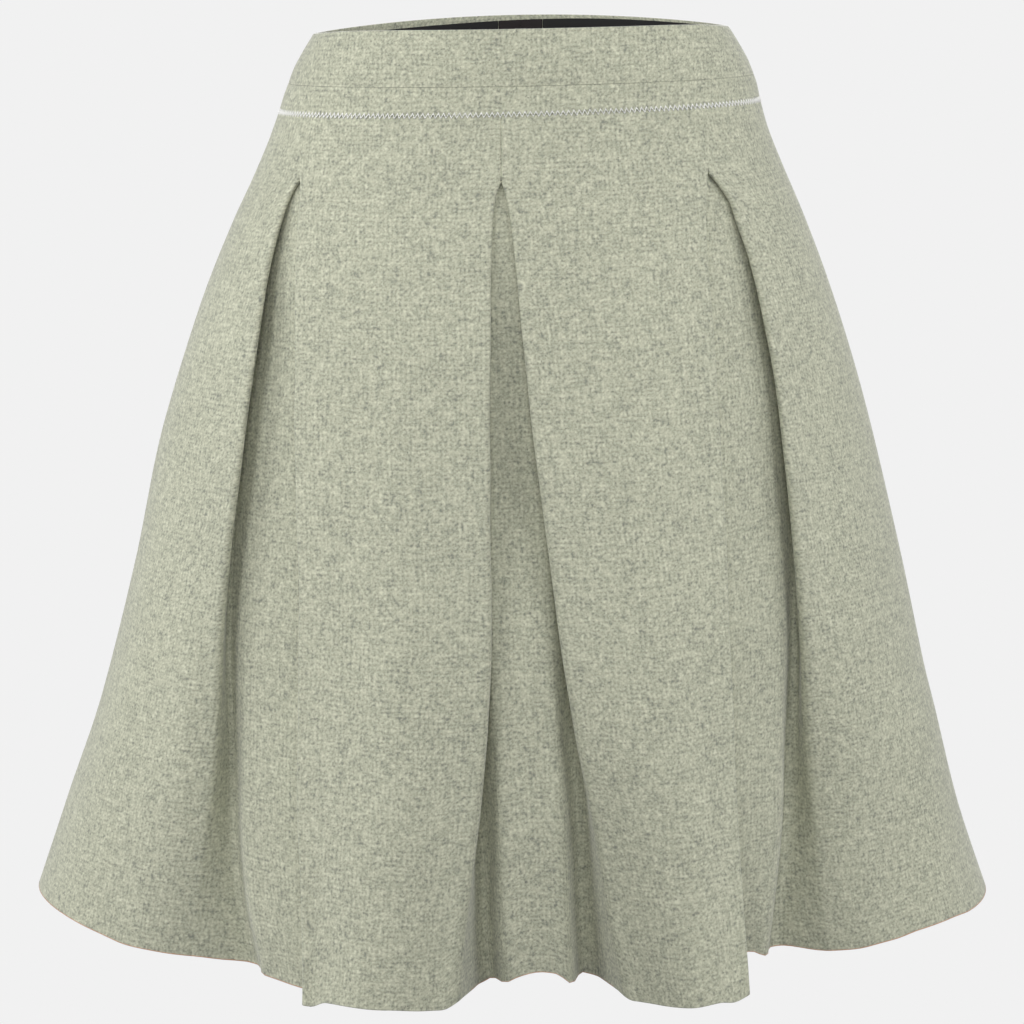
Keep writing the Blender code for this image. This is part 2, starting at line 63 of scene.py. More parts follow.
# The solid model's own sizes, which the cloth follows
LENGTH = 0.501
BAND_HEIGHT = 0.0297
STRIP_HEIGHT = 0.0143
LEVEL_GAP = 0.0006
SEAM_GAP = 0.0003
PANEL_GAP = 0.00002
BAND_PROUD = 0.0006
SOLID_CLOTH = 0.0020
RELEASE = 0.0785
SIDE_DIP = 0.0030
BACK_RISE = 0.0030
STRIP_END = BAND_HEIGHT + STRIP_HEIGHT
PANEL_TOP = STRIP_END + LEVEL_GAP

# Base outline by level: half width, depth to the front and back, sideways lean, rise per metre to the right
FORM = (
    ("drop", "half_width", "front", "back", "lean", "roll"),
    (0.0000, 0.1150, 0.0868, 0.0868, 0.0000, 0.0185),
    (0.0150, 0.1228, 0.0912, 0.0912, 0.0000, 0.0185),
    (0.0297, 0.1300, 0.0950, 0.0962, 0.0000, 0.0200),
    (0.0440, 0.1345, 0.0985, 0.1018, -0.0008, 0.0260),
    (0.0600, 0.1398, 0.1030, 0.1085, -0.0014, 0.0250),
    (0.0800, 0.1482, 0.1100, 0.1180, -0.0016, 0.0220),
    (0.1050, 0.1597, 0.1190, 0.1290, -0.0020, 0.0190),
    (0.1500, 0.1779, 0.1340, 0.1440, -0.0024, 0.0160),
    (0.2180, 0.1996, 0.1510, 0.1580, -0.0024, 0.0120),
    (0.3000, 0.2195, 0.1680, 0.1700, -0.0014, 0.0080),
    (0.3800, 0.2390, 0.1810, 0.1810, -0.0028, 0.0050),
    (0.4500, 0.2602, 0.1920, 0.1930, -0.0052, 0.0020),
    (0.5020, 0.2775, 0.2010, 0.2030, -0.0046, 0.0000),
)

# How far the hem hangs under its level, by the place across the skirt, in millimetres
HEM_FALL = (
    ("x", "fall"),
    (-273, -5.9), (-260, -5.0), (-246, -3.4), (-234, -1.7), (-220, 0.8), (-206, 1.6), (-190, 2.7), (-177, 3.5),
    (-165, 4.8), (-155, 5.5), (-144, 6.9), (-134, 6.9), (-126, 7.2), (-120, 7.4), (-112, 7.4), (-103, 3.0),
    (-85, 0.8), (-70, 1.6), (-50, 5.0), (-42, 5.6), (-32, 2.6), (-22, 3.6), (-11, -1.4), (0, -6.4), (9, -8.0),
    (18, -6.6), (28, 0.6), (41, 3.4), (50, 3.8), (60, 6.4), (72, 5.4), (88, 2.6), (104, -0.8), (112, 0.8),
    (125, -3.2), (135, 1.0), (148, 0.0), (165, 1.1), (185, 1.0), (200, -0.8), (210, -1.8), (222, -3.9),
    (244, -5.0), (256, -3.5), (268, -3.0),
)
BACK_FALL = (("x", "fall"), (-273, -5.9), (-225, 0.0), (230, 0.0), (268, -3.0))
HEM_FADE = 6

# Pleats by level, under the point where their seam lets them open. The cloth goes in at one edge of the
# mouth and comes out at the other. Each edge has its place across the skirt, its dent, how far the underlay
# runs on behind it, the underlay's dent there, and the radius of its two folds. Millimetres but for the drop.
PLEAT_COLUMNS = ("drop", "in_x", "out_x", "in_dent", "out_dent", "in_tuck", "out_tuck",
                 "in_trough", "out_trough", "in_fold", "out_fold")
PLEAT_LEFT = (
    PLEAT_COLUMNS,
    (0.0785, -120.9, -120.3, 0, 0, 18, 18, 3.4, 3.4, 0.8, 0.8),
    (0.0830, -124.2, -119.9, 0, 0, 18, 19, 3.8, 3.4, 0.8, 0.8),
    (0.0900, -127.9, -119.7, 0, 0, 18, 20, 4.5, 3.4, 0.8, 0.8),
    (0.1050, -133.4, -120.8, 0, 0, 18, 20, 7.0, 4.4, 0.9, 0.8),
    (0.1250, -138.2, -121.4, 0, 0, 18, 20, 10.0, 5.0, 1.0, 0.8),
    (0.1600, -143.8, -121.3, 0, 0, 17, 20, 14.0, 8.0, 1.1, 0.8),
    (0.2050, -150.4, -120.8, 1, 0, 15, 20, 15.0, 11.0, 1.2, 0.8),
    (0.2550, -156.9, -119.3, 3, 0, 13, 20, 18.0, 14.0, 1.6, 0.9),
    (0.3100, -163.6, -118.3, 6, 0, 10, 20, 22.0, 18.0, 2.4, 1.0),
    (0.4000, -170.0, -119.0, 15, 0, 2, 18, 34.0, 22.0, 4.0, 1.2),
    (0.4600, -176.0, -116.2, 23, 0, -7, 17, 42.0, 24.0, 8.0, 1.3),
    (0.5010, -178.0, -116.5, 30, -1, -16, 16, 48.0, 25.0, 13.0, 1.4),
)
PLEAT_CENTRE = (
    PLEAT_COLUMNS,
    (0.0785, -11.1, -10.3, 0, 0, 18, 18, 3.4, 3.4, 0.8, 0.8),
    (0.0830, -13.0, -8.7, 0, 0, 18, 18, 3.4, 3.4, 0.8, 0.8),
    (0.0900, -14.9, -6.9, 0, 0, 18, 18, 3.6, 3.6, 0.8, 0.8),
    (0.1050, -16.2, -4.2, 0, 0, 19, 18, 4.2, 4.2, 0.9, 0.9),
    (0.1250, -16.7, -1.9, 0, 0, 19, 18, 6.2, 6.4, 1.0, 1.0),
    (0.1600, -17.0, 1.5, 0, 0, 19, 17, 9.0, 11.0, 1.2, 1.3),
    (0.2050, -17.2, 6.2, 0, 0.5, 18, 16, 13.0, 16.0, 1.5, 1.8),
    (0.2550, -17.0, 13.2, 0, 0.9, 16, 12, 17.0, 20.0, 2.2, 2.6),
    (0.3100, -16.6, 20.6, 0, 1.6, 13, 9, 17.0, 20.0, 3.2, 4.0),
    (0.3600, -18.5, 28.6, 0, 3, 9, 5, 21.5, 25.0, 4.6, 5.4),
    (0.4000, -22.0, 36.6, 0, 6, 5, 1, 26.0, 30.0, 6.0, 7.0),
    (0.4500, -28.6, 45.6, 1, 10, -1, -3, 34.0, 40.0, 8.0, 8.5),
    (0.5010, -33.6, 55.4, 2, 13, -7, -7, 44.0, 52.0, 10.0, 10.5),
)
PLEAT_RIGHT = (
    PLEAT_COLUMNS,
    (0.0785, 100.5, 101.1, 0, 0, 18, 18, 3.4, 3.4, 0.8, 0.8),
    (0.0830, 99.9, 105.4, 0, 0, 18, 18, 3.4, 3.8, 0.8, 0.8),
    (0.0880, 99.6, 109.4, 0, 0, 19, 18, 3.4, 4.2, 0.8, 0.8),
    (0.0960, 99.3, 114.7, 0, 0, 20, 18, 3.4, 4.8, 0.8, 0.8),
    (0.1050, 99.3, 117.6, 0, 0, 20, 18, 3.4, 5.6, 0.8, 0.9),
    (0.1250, 99.9, 124.4, 0, 0, 20, 18, 3.4, 8.0, 0.8, 1.0),
    (0.1600, 101.9, 133.4, 0, 1, 20, 17, 4.4, 12.0, 0.8, 1.2),
    (0.2050, 104.6, 141.6, 0, 3, 20, 16, 6.0, 15.0, 0.8, 1.5),
    (0.2550, 107.4, 147.6, -1, 5, 20, 14, 9.0, 20.0, 0.9, 2.0),
    (0.3100, 109.9, 153.4, -2, 8, 18, 11, 12.0, 25.5, 1.0, 3.0),
    (0.4000, 113.8, 160.4, -6, 19, 15, 2, 22.0, 39.0, 1.2, 5.5),
    (0.4600, 117.8, 164.5, -10, 27, 12, -5, 36.0, 48.0, 1.3, 9.0),
    (0.5010, 120.3, 167.0, -14, 33, 10, -10, 56.0, 57.0, 1.4, 13.0),
)
PLEAT_BACK_RIGHT = (
    PLEAT_COLUMNS,
    (0.0785, 104.3, 103.7, 0, 0, 18, 18, 3.4, 3.4, 0.8, 0.8),
    (0.0900, 110.5, 103.2, 0, 0, 18, 19, 4.6, 3.4, 0.8, 0.8),
    (0.1250, 122.0, 104.8, 0, 0, 18, 20, 8.0, 3.8, 1.0, 0.8),
    (0.2050, 136.5, 108.8, 2, -1, 15, 20, 14.0, 7.0, 1.5, 0.9),
    (0.3100, 149.5, 113.8, 5, -3, 10, 18, 24.0, 15.0, 3.2, 1.3),
    (0.4000, 156.8, 117.8, 11, -4, 0, 11, 34.0, 27.0, 6.5, 2.6),
    (0.5010, 164.0, 123.0, 20, -4, -12, -6, 45.0, 44.0, 13.0, 9.0),
)
BACK_LEFT_REACH = 0.97

# Stitched seam above each pleat: its place across the skirt at the panel's top and where it lets go, and
# how deep a ditch it leaves, all in millimetres
SEAM_COLUMNS = ("drop", "x", "ditch")
SEAM_LEFT = (SEAM_COLUMNS, (0.0430, -115.0, 0.0), (0.0785, -120.6, 0.1))
SEAM_CENTRE = (SEAM_COLUMNS, (0.0430, -10.9, 0.5), (0.0785, -10.7, 0.55))
SEAM_RIGHT = (SEAM_COLUMNS, (0.0430, 96.0, 0.0), (0.0785, 100.8, 0.1))
SEAM_BACK = (SEAM_COLUMNS, (0.0430, 98.0, 0.0), (0.0785, 104.0, 0.1))
SEAM_MOUTH = 0.0009
GROOVE_HALF = 0.00028

# Band seams: the ditch between the wool pieces, and how far their edges are rounded there
SEAM_DITCH = 0.00004
SEAM_ROUND = 0.00030

# Bar tack over the centre pleat: how many stitches, their pitch and half width in metres, and its thread's
# radius and how far it stands out as shares of the zigzag's
TACK_STITCHES = 3
TACK_PITCH = 0.0007
TACK_HALF = 0.0011
TACK_THREAD = 0.5
TACK_LIFT = 0.6

# Zigzag: how far its thread stands out in radii, how unevenly, and how far it sinks in at the skirt's sides
ZIGZAG_LIFT = 0.55
ZIGZAG_UNEVEN = 0.25
ZIGZAG_SINK = 0.8

# How far each panel swells out between its folds, by level, in millimetres
SWELLS = (
    ("drop", "side_left", "front_left", "front_right", "side_right", "back_side", "back_centre"),
    (0.079, 0, 0, 0, 0, 0, 0),
    (0.205, 1, 2, 3, -1, 0, 2),
    (0.310, 0, 4, 5, -3, -1, 5),
    (0.400, -2, 8, 9, -3, -3, 7),
    (0.460, -3, 12, 12, -3, -5, 9),
    (0.501, -3, 14, 13, -2, -6, 10),
)

# Soft creases: where each starts and ends as (x, drop), its half width and how deep it lies, in millimetres.
# A negative depth is a ridge.
CREASE_COLUMNS = ("x", "drop", "end_x", "end_drop", "half_width", "depth")
FRONT_CREASES = (
    CREASE_COLUMNS,
    (-160, 120, -205, 330, 17, 1.4),
    (-196, 210, -226, 420, 15, -1.0),
    (-205, 340, -232, 500, 14, 1.9),
    (-176, 330, -190, 490, 13, -1.2),
    (-70, 90, -92, 300, 15, 0.7),
    (-52, 190, -60, 430, 20, -0.8),
    (-88, 300, -76, 500, 15, 1.6),
    (-42, 330, -36, 500, 13, 1.3),
    (34, 110, 62, 320, 16, 0.7),
    (58, 230, 92, 470, 17, -0.9),
    (74, 330, 84, 500, 14, 1.5),
    (150, 150, 178, 330, 15, 1.0),
    (176, 240, 205, 420, 15, -1.1),
    (190, 330, 214, 500, 14, 1.9),
    (226, 380, 240, 500, 13, -1.3),
    (-118, 55, -90, 74, 9, 0.35),
    (98, 52, 72, 72, 9, 0.35),
)
BACK_CREASES = (
    CREASE_COLUMNS,
    (60, 100, 84, 330, 17, 0.9),
    (34, 220, 46, 480, 20, -1.1),
    (78, 320, 70, 500, 15, 1.6),
    (160, 140, 196, 330, 16, 1.2),
    (196, 300, 226, 500, 15, 1.8),
    (-64, 110, -90, 320, 16, 0.8),
    (-40, 240, -52, 490, 19, -1.0),
    (-80, 340, -68, 500, 15, 1.5),
    (-152, 150, -190, 350, 16, 1.3),
    (-204, 300, -222, 500, 14, 1.7),
)
# How far a crease runs on past its ends and over how much it fades, as shares of its length
CREASE_OVER = 0.15
CREASE_FADE = 0.35

# How each mouth hangs low down: how far the cloth behind it swells outwards, as a share of its width, and
# by how many degrees the panels beside it turn in towards it; then where the swell and the turn set in
Hang = collections.namedtuple("Hang", "belly in_lean out_lean")
HANG_LEFT = Hang(0.08, 28, 0)
HANG_CENTRE = Hang(0.27, 18, 28)
HANG_RIGHT = Hang(0.11, 0, 26)
HANG_BACK = Hang(0.12, 14, 14)
BELLY_TOP = 0.20
BELLY_FADE = 0.22
BELLY_EDGE = 0.20
HEM_BELLY = 0.5
HEM_BELLY_TOP = 0.36
LEAN_TOP = 0.24
LEAN_FADE = 0.18

# Slow waves over the whole cloth, and the wander of the pleats' edges
WAVE_SPAN = 0.055
WAVE_DEPTH = 0.0007
CREST_SPAN = 0.040
CREST_WANDER = 0.0007

# Share of a panel's width over which its creases fade in from a fold or seam
PANEL_EDGE = 0.12

# Steps of the cloth mesh
PANEL_STEPS = 40
FOLD_STEPS = 5
RETURN_STEPS = 5
UNDERLAY_STEPS = 15
ROW_STEP = 0.0033
MOUTH_ROW_STEP = 0.0011
MOUTH_ROWS_END = 0.0900
RELEASE_GAP = 0.0003
BAND_ROW_STEP = 0.0022
FRAY = 0.0005
BAND_STEPS = 120
TAPE_STEPS = 8
ROUND_STEPS = (0.0, 0.18, 0.45, 1.0)

# Concealed zip at the centre back
ZIP_END = 0.190
TAPE_WIDTH = 0.012
TAPE = 0.0008
TAPE_COLOUR = (0.012, 0.011, 0.011)
TOOTH_PITCH = 0.0013
TOOTH_SIZE = (0.0027, 0.0013, 0.0008)
TOOTH_SHIFT = 0.0007
TOOTH_BEVEL = 0.00022
CHAIN_TOP = 0.0150
CHAIN_STOP = 0.003
ZIP_CLOSED_HALF = 0.000005
ZIP_NECK_HALF = 0.0009
NECK_TOP, NECK_FOOT = 0.0073, 0.0117
FACING = 0.0010
FACING_ROUND = 0.0004
TAPE_ROUND = 0.0003
FACING_FALL_LEFT = 0.0040
FACING_FALL_RIGHT = 0.0016
FACING_END = STRIP_END - 0.0020
PULL_BEVEL = 0.00018

LEFT_SEAM, RIGHT_SEAM, CENTRE_BACK, LEFT_SEAM_AGAIN = (math.radians(t) for t in (-90, 90, 180, 270))


class SkirtClothSizes(bpy.types.PropertyGroup):
    """Thickness and finish of the cloth edges."""

    wool: FloatProperty(name="Wool", description="Thickness of the wool", default=0.0015, min=0.0008,
                        max=0.0020, unit="LENGTH")
    edge_round: FloatProperty(name="Edge round", description="How far an edge is rounded at a seam",
                              default=0.0004, min=0.0001, max=0.0010, unit="LENGTH")
    band_bulge: FloatProperty(name="Band bulge", description="How far the band stands out between its seams",
                              default=0.0005, min=0.0, max=0.0020, unit="LENGTH")


class SkirtStitchSizes(bpy.types.PropertyGroup):
    """The zigzag under the strip and the bar tack at the centre front."""

    pitch: FloatProperty(name="Pitch", description="Length of one zigzag", default=0.0029, min=0.001,
                         max=0.006, unit="LENGTH")
    height: FloatProperty(name="Height", description="Height of the zigzag", default=0.0026, min=0.0005,
                          max=0.004, unit="LENGTH")
    drop: FloatProperty(name="Drop", description="How far under the waist the zigzag runs", default=0.0443,
                        min=0.03, max=0.06, unit="LENGTH")
    thread: FloatProperty(name="Thread", description="Radius of the thread", default=0.00048, min=0.0001,
                          max=0.0006, unit="LENGTH")


class SkirtColours(bpy.types.PropertyGroup):
    """Colours of the skirt's cloths and metal."""

    wool: FloatVectorProperty(name="Wool", description="Main colour of the wool", subtype="COLOR", size=3,
                              default=(0.457, 0.462, 0.354), min=0, max=1)
    wool_dark: FloatVectorProperty(name="Dark fibres", description="Colour of the darker fibres",
                                   subtype="COLOR", size=3, default=(0.235, 0.243, 0.205), min=0, max=1)
    wool_pale: FloatVectorProperty(name="Pale fibres", description="Colour of the paler fibres",
                                   subtype="COLOR", size=3, default=(0.65, 0.655, 0.52), min=0, max=1)
    cut_edge: FloatVectorProperty(name="Cut edge", description="Colour of the raw edge at the hem",
                                  subtype="COLOR", size=3, default=(0.62, 0.27, 0.13), min=0, max=1)
    facing: FloatVectorProperty(name="Facing", description="Colour of the facing", subtype="COLOR", size=3,
                                default=(0.010, 0.010, 0.010), min=0, max=1)
    thread: FloatVectorProperty(name="Thread", description="Colour of the zigzag thread", subtype="COLOR",
                                size=3, default=(0.98, 0.98, 0.95), min=0, max=1)
    metal: FloatVectorProperty(name="Zip metal", description="Colour of the slider", subtype="COLOR", size=3,
                               default=(0.16, 0.155, 0.15), min=0, max=1)


class SkirtStage(bpy.types.PropertyGroup):
    """The stage and its light."""

    backdrop: FloatProperty(name="Backdrop", description="Brightness of the floor and backdrop", default=0.88,
                            min=0, max=1, subtype="FACTOR")
    ambient: FloatProperty(name="Ambient", description="Brightness of the light from all round", default=0.15,
                           min=0, max=2, subtype="FACTOR")
    light: FloatProperty(name="Light", description="Brightness of the soft lights against their own powers",
                         default=1.0, min=0, max=10, subtype="FACTOR")


def read(table, column, place):
    """A column of a table, at this place in its first column, on a smooth curve that never overshoots."""
    x, y, turn = table_curve(table, column)
    place = min(max(place, x[0]), x[-1])
    i = min(int(np.searchsorted(x, place, side="right")) - 1, len(x) - 2)
    step = x[i + 1] - x[i]
    t = (place - x[i]) / step
    rise = y[i + 1] - y[i]
    return (y[i] + rise * t * t * (3 - 2 * t)
            + step * (turn[i] * t * (1 - t) ** 2 - turn[i + 1] * t * t * (1 - t)))


@functools.lru_cache(maxsize=None)
def table_curve(table, column):
    """Places, values and slopes of a table's column."""
    rows = np.array(table[1:], float)
    x, y = rows[:, 0], rows[:, table[0].index(column)]
    step = np.diff(x)
    slope = np.diff(y) / step
    turn = np.zeros(len(x))
    turn[0], turn[-1] = slope[0], slope[-1]
    for i in range(1, len(x) - 1):
        if slope[i - 1] * slope[i] > 0:
            before, after = 2 * step[i] + step[i - 1], step[i] + 2 * step[i - 1]
            turn[i] = (before + after) / (before / slope[i - 1] + after / slope[i])
    return x, y, turn


class Level:
    """The base outline at one drop: an ellipse with its own depth to the front and to the back."""

    SAMPLES = 1441

    def __init__(self, drop):
        self.drop = drop
        self.width, self.front, self.back, self.lean, self.roll = (
            read(FORM, column, drop) for column in FORM[0][1:])
        self.angles = np.linspace(LEFT_SEAM, LEFT_SEAM_AGAIN, self.SAMPLES)
        self.points = self.outline(drop)
        steps = np.hypot(*np.diff(self.points, axis=0).T)
        self.along = np.r_[0, np.cumsum(steps)]
        way = np.gradient(self.points, axis=0)
        way /= np.hypot(*way.T)[:, None]
        self.inward = np.c_[-way[:, 1], way[:, 0]]
        flare = ((self.outline(drop) - self.outline(drop + MM)) * self.inward).sum(axis=1) / MM
        self.slant = np.hypot(1, flare)

    def outline(self, drop):
        width, front, back, lean = (read(FORM, column, drop) for column in FORM[0][1:5])
        depth = np.where(np.cos(self.angles) > 0, front, back)
        return np.c_[lean + width * np.sin(self.angles), -depth * np.cos(self.angles)]

    def slant_at(self, along):
        return np.interp(along, self.along, self.slant)

    def place(self, along, dent):
        """The point this far along the outline and this far inside it."""
        x, y, in_x, in_y = (np.interp(along, self.along, values) for values in (*self.points.T, *self.inward.T))
        return x + dent * in_x, y + dent * in_y

    def under(self, along, depth):
        """The point this far under the sloping outer face, measured square to the cloth."""
        return self.place(along, depth * self.slant_at(along))

    def at_angle(self, angle):
        return float(np.interp(angle, self.angles, self.along))

    def at_x(self, x, dent, back):
        """How far along the outline a point of this dent stands that far across the skirt."""
        sideways = x
        for _ in range(6):
            share = min(max((sideways - self.lean) / self.width, -0.995), 0.995)
            angle = math.pi - math.asin(share) if back else math.asin(share)
            along = self.at_angle(angle)
            sideways += x - self.place(along, dent)[0]
        return along

    def height(self, x, y):
        """Height of the cloth there. The top edge dips at the sides, and every seam rises to the right."""
        share = min(abs(x - self.lean) / self.width, 1)
        edge = -SIDE_DIP * share ** 8 if y < 0 else BACK_RISE - (BACK_RISE + SIDE_DIP) * share ** 2
        fade = max(0.0, 1 - self.drop / BAND_HEIGHT)
        fall = read(HEM_FALL if y < 0 else BACK_FALL, "fall", x / MM) * MM
        return -self.drop + self.roll * x + edge * fade - fall * (self.drop / LENGTH) ** HEM_FADE

    def point(self, along, depth):
        x, y = self.under(along, depth)
        return x, y, self.height(x, y)


@functools.lru_cache(maxsize=None)
def level_at(tenths):
    return Level(tenths * 0.1 * MM)


def level_near(drop):
    """The outline at the nearest tenth of a millimetre to this drop, made once."""
    return level_at(round(drop / MM * 10))


def between(first, last, steps):
    """Even steps from first to last, without first."""
    return [first + (last - first) * i / steps for i in range(1, steps + 1)]


def eased(t):
    t = min(max(t, 0.0), 1.0)
    return t * t * (3 - 2 * t)


def turned(centre, radius, start, sweep, side, steps):
    """Points of the cloth as it turns round a fold, from the heading start by the angle sweep."""
    points = []
    for heading in [start] + between(start, start + sweep, steps):
        left = (-math.sin(heading), math.cos(heading))
        points.append((centre[0] - side * radius * left[0], centre[1] - side * radius * left[1]))
    return points


def heading_between(first, last):
    """Heading of the straight cloth from one fold to the next. A fold is (centre, radius, side)."""
    (start, radius_1, side_1), (end, radius_2, side_2) = first, last
    across, down = end[0] - start[0], end[1] - start[1]
    reach = math.hypot(across, down)
    shift = side_2 * radius_2 - side_1 * radius_1
    if abs(shift) >= reach:
        raise ValueError(f"two folds of a pleat touch: {reach:.4f} m apart, {abs(shift):.4f} m needed")
    return math.atan2(down, across) - math.asin(shift / reach)


def sweep_from(start, end, side):
    """How far the heading turns at a fold. A turn the other way is only ever a slight one."""
    turn = (end - start) * side % (2 * math.pi)
    return side * (turn - 2 * math.pi if turn > 1.5 * math.pi else turn)


def wander(drop, pleat_place, edge):
    """A slight wander of a pleat's edge down its length, none where its seam lets go."""
    here = noise.noise(Vector((drop / CREST_SPAN, pleat_place * 7.0, edge * 5.0)))
    return CREST_WANDER * here * eased((drop - RELEASE) / CREST_SPAN)


PLEAT_POINTS = 4 * (FOLD_STEPS + 1) + 2 * (RETURN_STEPS - 1) + UNDERLAY_STEPS - 1


def pleat_section(level, pleat, seam, hang, back, wool):
    """The cloth from the crest of a pleat's first fold to the crest of its last, as (along, dent)."""
    inside = wool / 2
    if level.drop < RELEASE:
        middle = level.at_x(read(seam, "x", level.drop) * MM, 0.0, back)
        steps = [0.0] + between(0.0, 1.0, PLEAT_POINTS - 1)
        return [(middle + SEAM_MOUTH * (2 * t - 1), inside) for t in steps]
    value = {name: read(pleat, name, level.drop) * MM for name in pleat[0][1:]}
    value["in_x"] += wander(level.drop, pleat[1][1], 0)
    value["out_x"] += wander(level.drop, pleat[1][1], 1)
    edge_in = level.at_x(value["in_x"], value["in_dent"], back)
    edge_out = level.at_x(value["out_x"], value["out_dent"], back)
    first, last = value["in_fold"], value["out_fold"]
    folds = [
        ((edge_in - first, inside + value["in_dent"] + first), first, 1),
        ((edge_in - value["in_tuck"] + first, inside + value["in_trough"] - first), first, -1),
        ((edge_out + value["out_tuck"] - last, inside + value["out_trough"] - last), last, -1),
        ((edge_out + last, inside + value["out_dent"] + last), last, 1),
    ]
    first_lean, last_lean = leans_at(hang, level.drop)
    headings = [first_lean] + [heading_between(a, b) for a, b in zip(folds, folds[1:])] + [-last_lean]
    stretches = (RETURN_STEPS, UNDERLAY_STEPS, RETURN_STEPS)
    fuller = 1 + HEM_BELLY * eased((level.drop - HEM_BELLY_TOP) / (LENGTH - HEM_BELLY_TOP))
    bellies = (0.0, hang.belly * fuller * eased((level.drop - BELLY_TOP) / BELLY_FADE), 0.0)
    path = []
    for i, (centre, radius, side) in enumerate(folds):
        sweep = sweep_from(headings[i], headings[i + 1], side)
        arc = turned(centre, radius, headings[i], sweep, side, FOLD_STEPS)
        if path:
            path += bowed(path[-1], arc[0], stretches[i - 1], bellies[i - 1])
        path += arc
    return path


def leans_at(hang, drop):
    """How far the panels before and after a mouth turn in towards it at this drop."""
    share = eased((drop - LEAN_TOP) / LEAN_FADE)
    return math.radians(hang.in_lean) * share, math.radians(hang.out_lean) * share


def bowed(first, last, steps, belly):
    """Points between first and last, swelling outwards by this share of their distance, flat in the middle."""
    swell = belly * math.dist(first, last)
    points = []
    for t in between(0.0, 1.0, steps)[:-1]:
        lift = swell * eased(t / BELLY_EDGE) * eased((1 - t) / BELLY_EDGE)
        points.append((first[0] + (last[0] - first[0]) * t, first[1] + (last[1] - first[1]) * t - lift))
    return points


def seam_groove(level, pleats, back, alongs):
    """How deep the stitched seam above each pleat draws the outer face in, at these places along it."""
    groove = np.zeros(len(alongs))
    if level.drop < RELEASE:
        for _, seam, _ in pleats:
            middle = level.at_x(read(seam, "x", level.drop) * MM, 0.0, back)
            depth = read(seam, "ditch", level.drop) * MM
            groove += depth * np.exp(-((alongs - middle) / GROOVE_HALF) ** 2)
    return groove


def crease_dent(creases, x, drop):
    """How deep the soft creases and the cloth's slow waves lie here."""
    dent = 0.0
    for row in creases[1:]:
        x0, d0, x1, d1, half, depth = (value * MM for value in row)
        run_x, run_d = x1 - x0, d1 - d0
        reach = math.hypot(run_x, run_d)
        t = ((x - x0) * run_x + (drop - d0) * run_d) / reach ** 2
        if -CREASE_OVER < t < 1 + CREASE_OVER:
            off = ((x - x0) * run_d - (drop - d0) * run_x) / reach
            fade = eased((t + CREASE_OVER) / CREASE_FADE) * eased((1 + CREASE_OVER - t) / CREASE_FADE)
            dent += depth * math.exp(-(off / half) ** 2) * fade
    waves = noise.noise(Vector((x / WAVE_SPAN, drop / WAVE_SPAN / 1.8, 3.7)))
    return dent + WAVE_DEPTH * waves * eased((drop - PANEL_TOP) / 0.03)


def panel_section(level, start, end, leans, swell, creases):
    """The cloth between two pleats or seams, eased from one dent and lean to the other, with its swell and
    creases."""
    points = []
    length = end[0] - start[0]
    rise_in, rise_out = (math.tan(lean) * length for lean in leans)
    for t in between(0.0, 1.0, PANEL_STEPS)[:-1]:
        along = start[0] + length * t
        dent = start[1] + (end[1] - start[1]) * eased(t) - swell * math.sin(math.pi * t) ** 2
        dent += t * (1 - t) * (rise_in * (1 - t) - rise_out * t)
        x = level.place(along, dent)[0]
        fade = eased(t / PANEL_EDGE) * eased((1 - t) / PANEL_EDGE)
        points.append((along, dent + fade * crease_dent(creases, x, level.drop)))
    return points


def panel_path(level, start, end, pleats, swells, creases, wool, rounding):
    """One level of a skirt panel: the middle of the cloth as (along, dent), from seam to seam."""
    back = start >= RIGHT_SEAM
    first, last = level.at_angle(start) + PANEL_GAP / 2, level.at_angle(end) - PANEL_GAP / 2
    stops = [[(first + rounding * share, wool / 2) for share in ROUND_STEPS]]
    stops += [pleat_section(level, *pleat, back, wool) for pleat in pleats]
    stops += [[(last - rounding * share, wool / 2) for share in reversed(ROUND_STEPS)]]
    leans = [0.0]
    for *_, hang in pleats:
        first_lean, last_lean = leans_at(hang, level.drop)
        leans += [first_lean, -last_lean]
    leans.append(0.0)
    path = list(stops[0])
    for i, (before, after, swell) in enumerate(zip(stops, stops[1:], swells)):
        swell = read(SWELLS, swell, level.drop) * MM
        path += panel_section(level, before[-1], after[0], leans[2 * i:2 * i + 2], swell, creases)
        path += after
    return np.array(path)


def stretches_of(pleats):
    """Which stretch of cloth each column of faces belongs to, and each stretch's middle column."""
    half_pleat = FOLD_STEPS + 1 + RETURN_STEPS // 2
    columns = [0] * (len(ROUND_STEPS) + PANEL_STEPS - 1)
    for i in range(pleats):
        inner = PLEAT_POINTS - 2 * half_pleat
        after = PANEL_STEPS - 1 if i + 1 < pleats else PANEL_STEPS - 1 + len(ROUND_STEPS) - 1
        columns += [2 * i] * half_pleat + [2 * i + 1] * inner + [2 * i + 2] * (half_pleat + after)
    columns = np.array(columns)
    middles = np.array([int(np.mean(np.nonzero(columns == k)[0])) for k in range(2 * pleats + 1)])
    return columns, middles


def rolled(distance, rounding):
    """How far a rounded edge falls back at this distance from it."""
    if distance >= rounding:
        return 0.0
    return rounding - math.sqrt(max(rounding ** 2 - (rounding - distance) ** 2, 0.0))


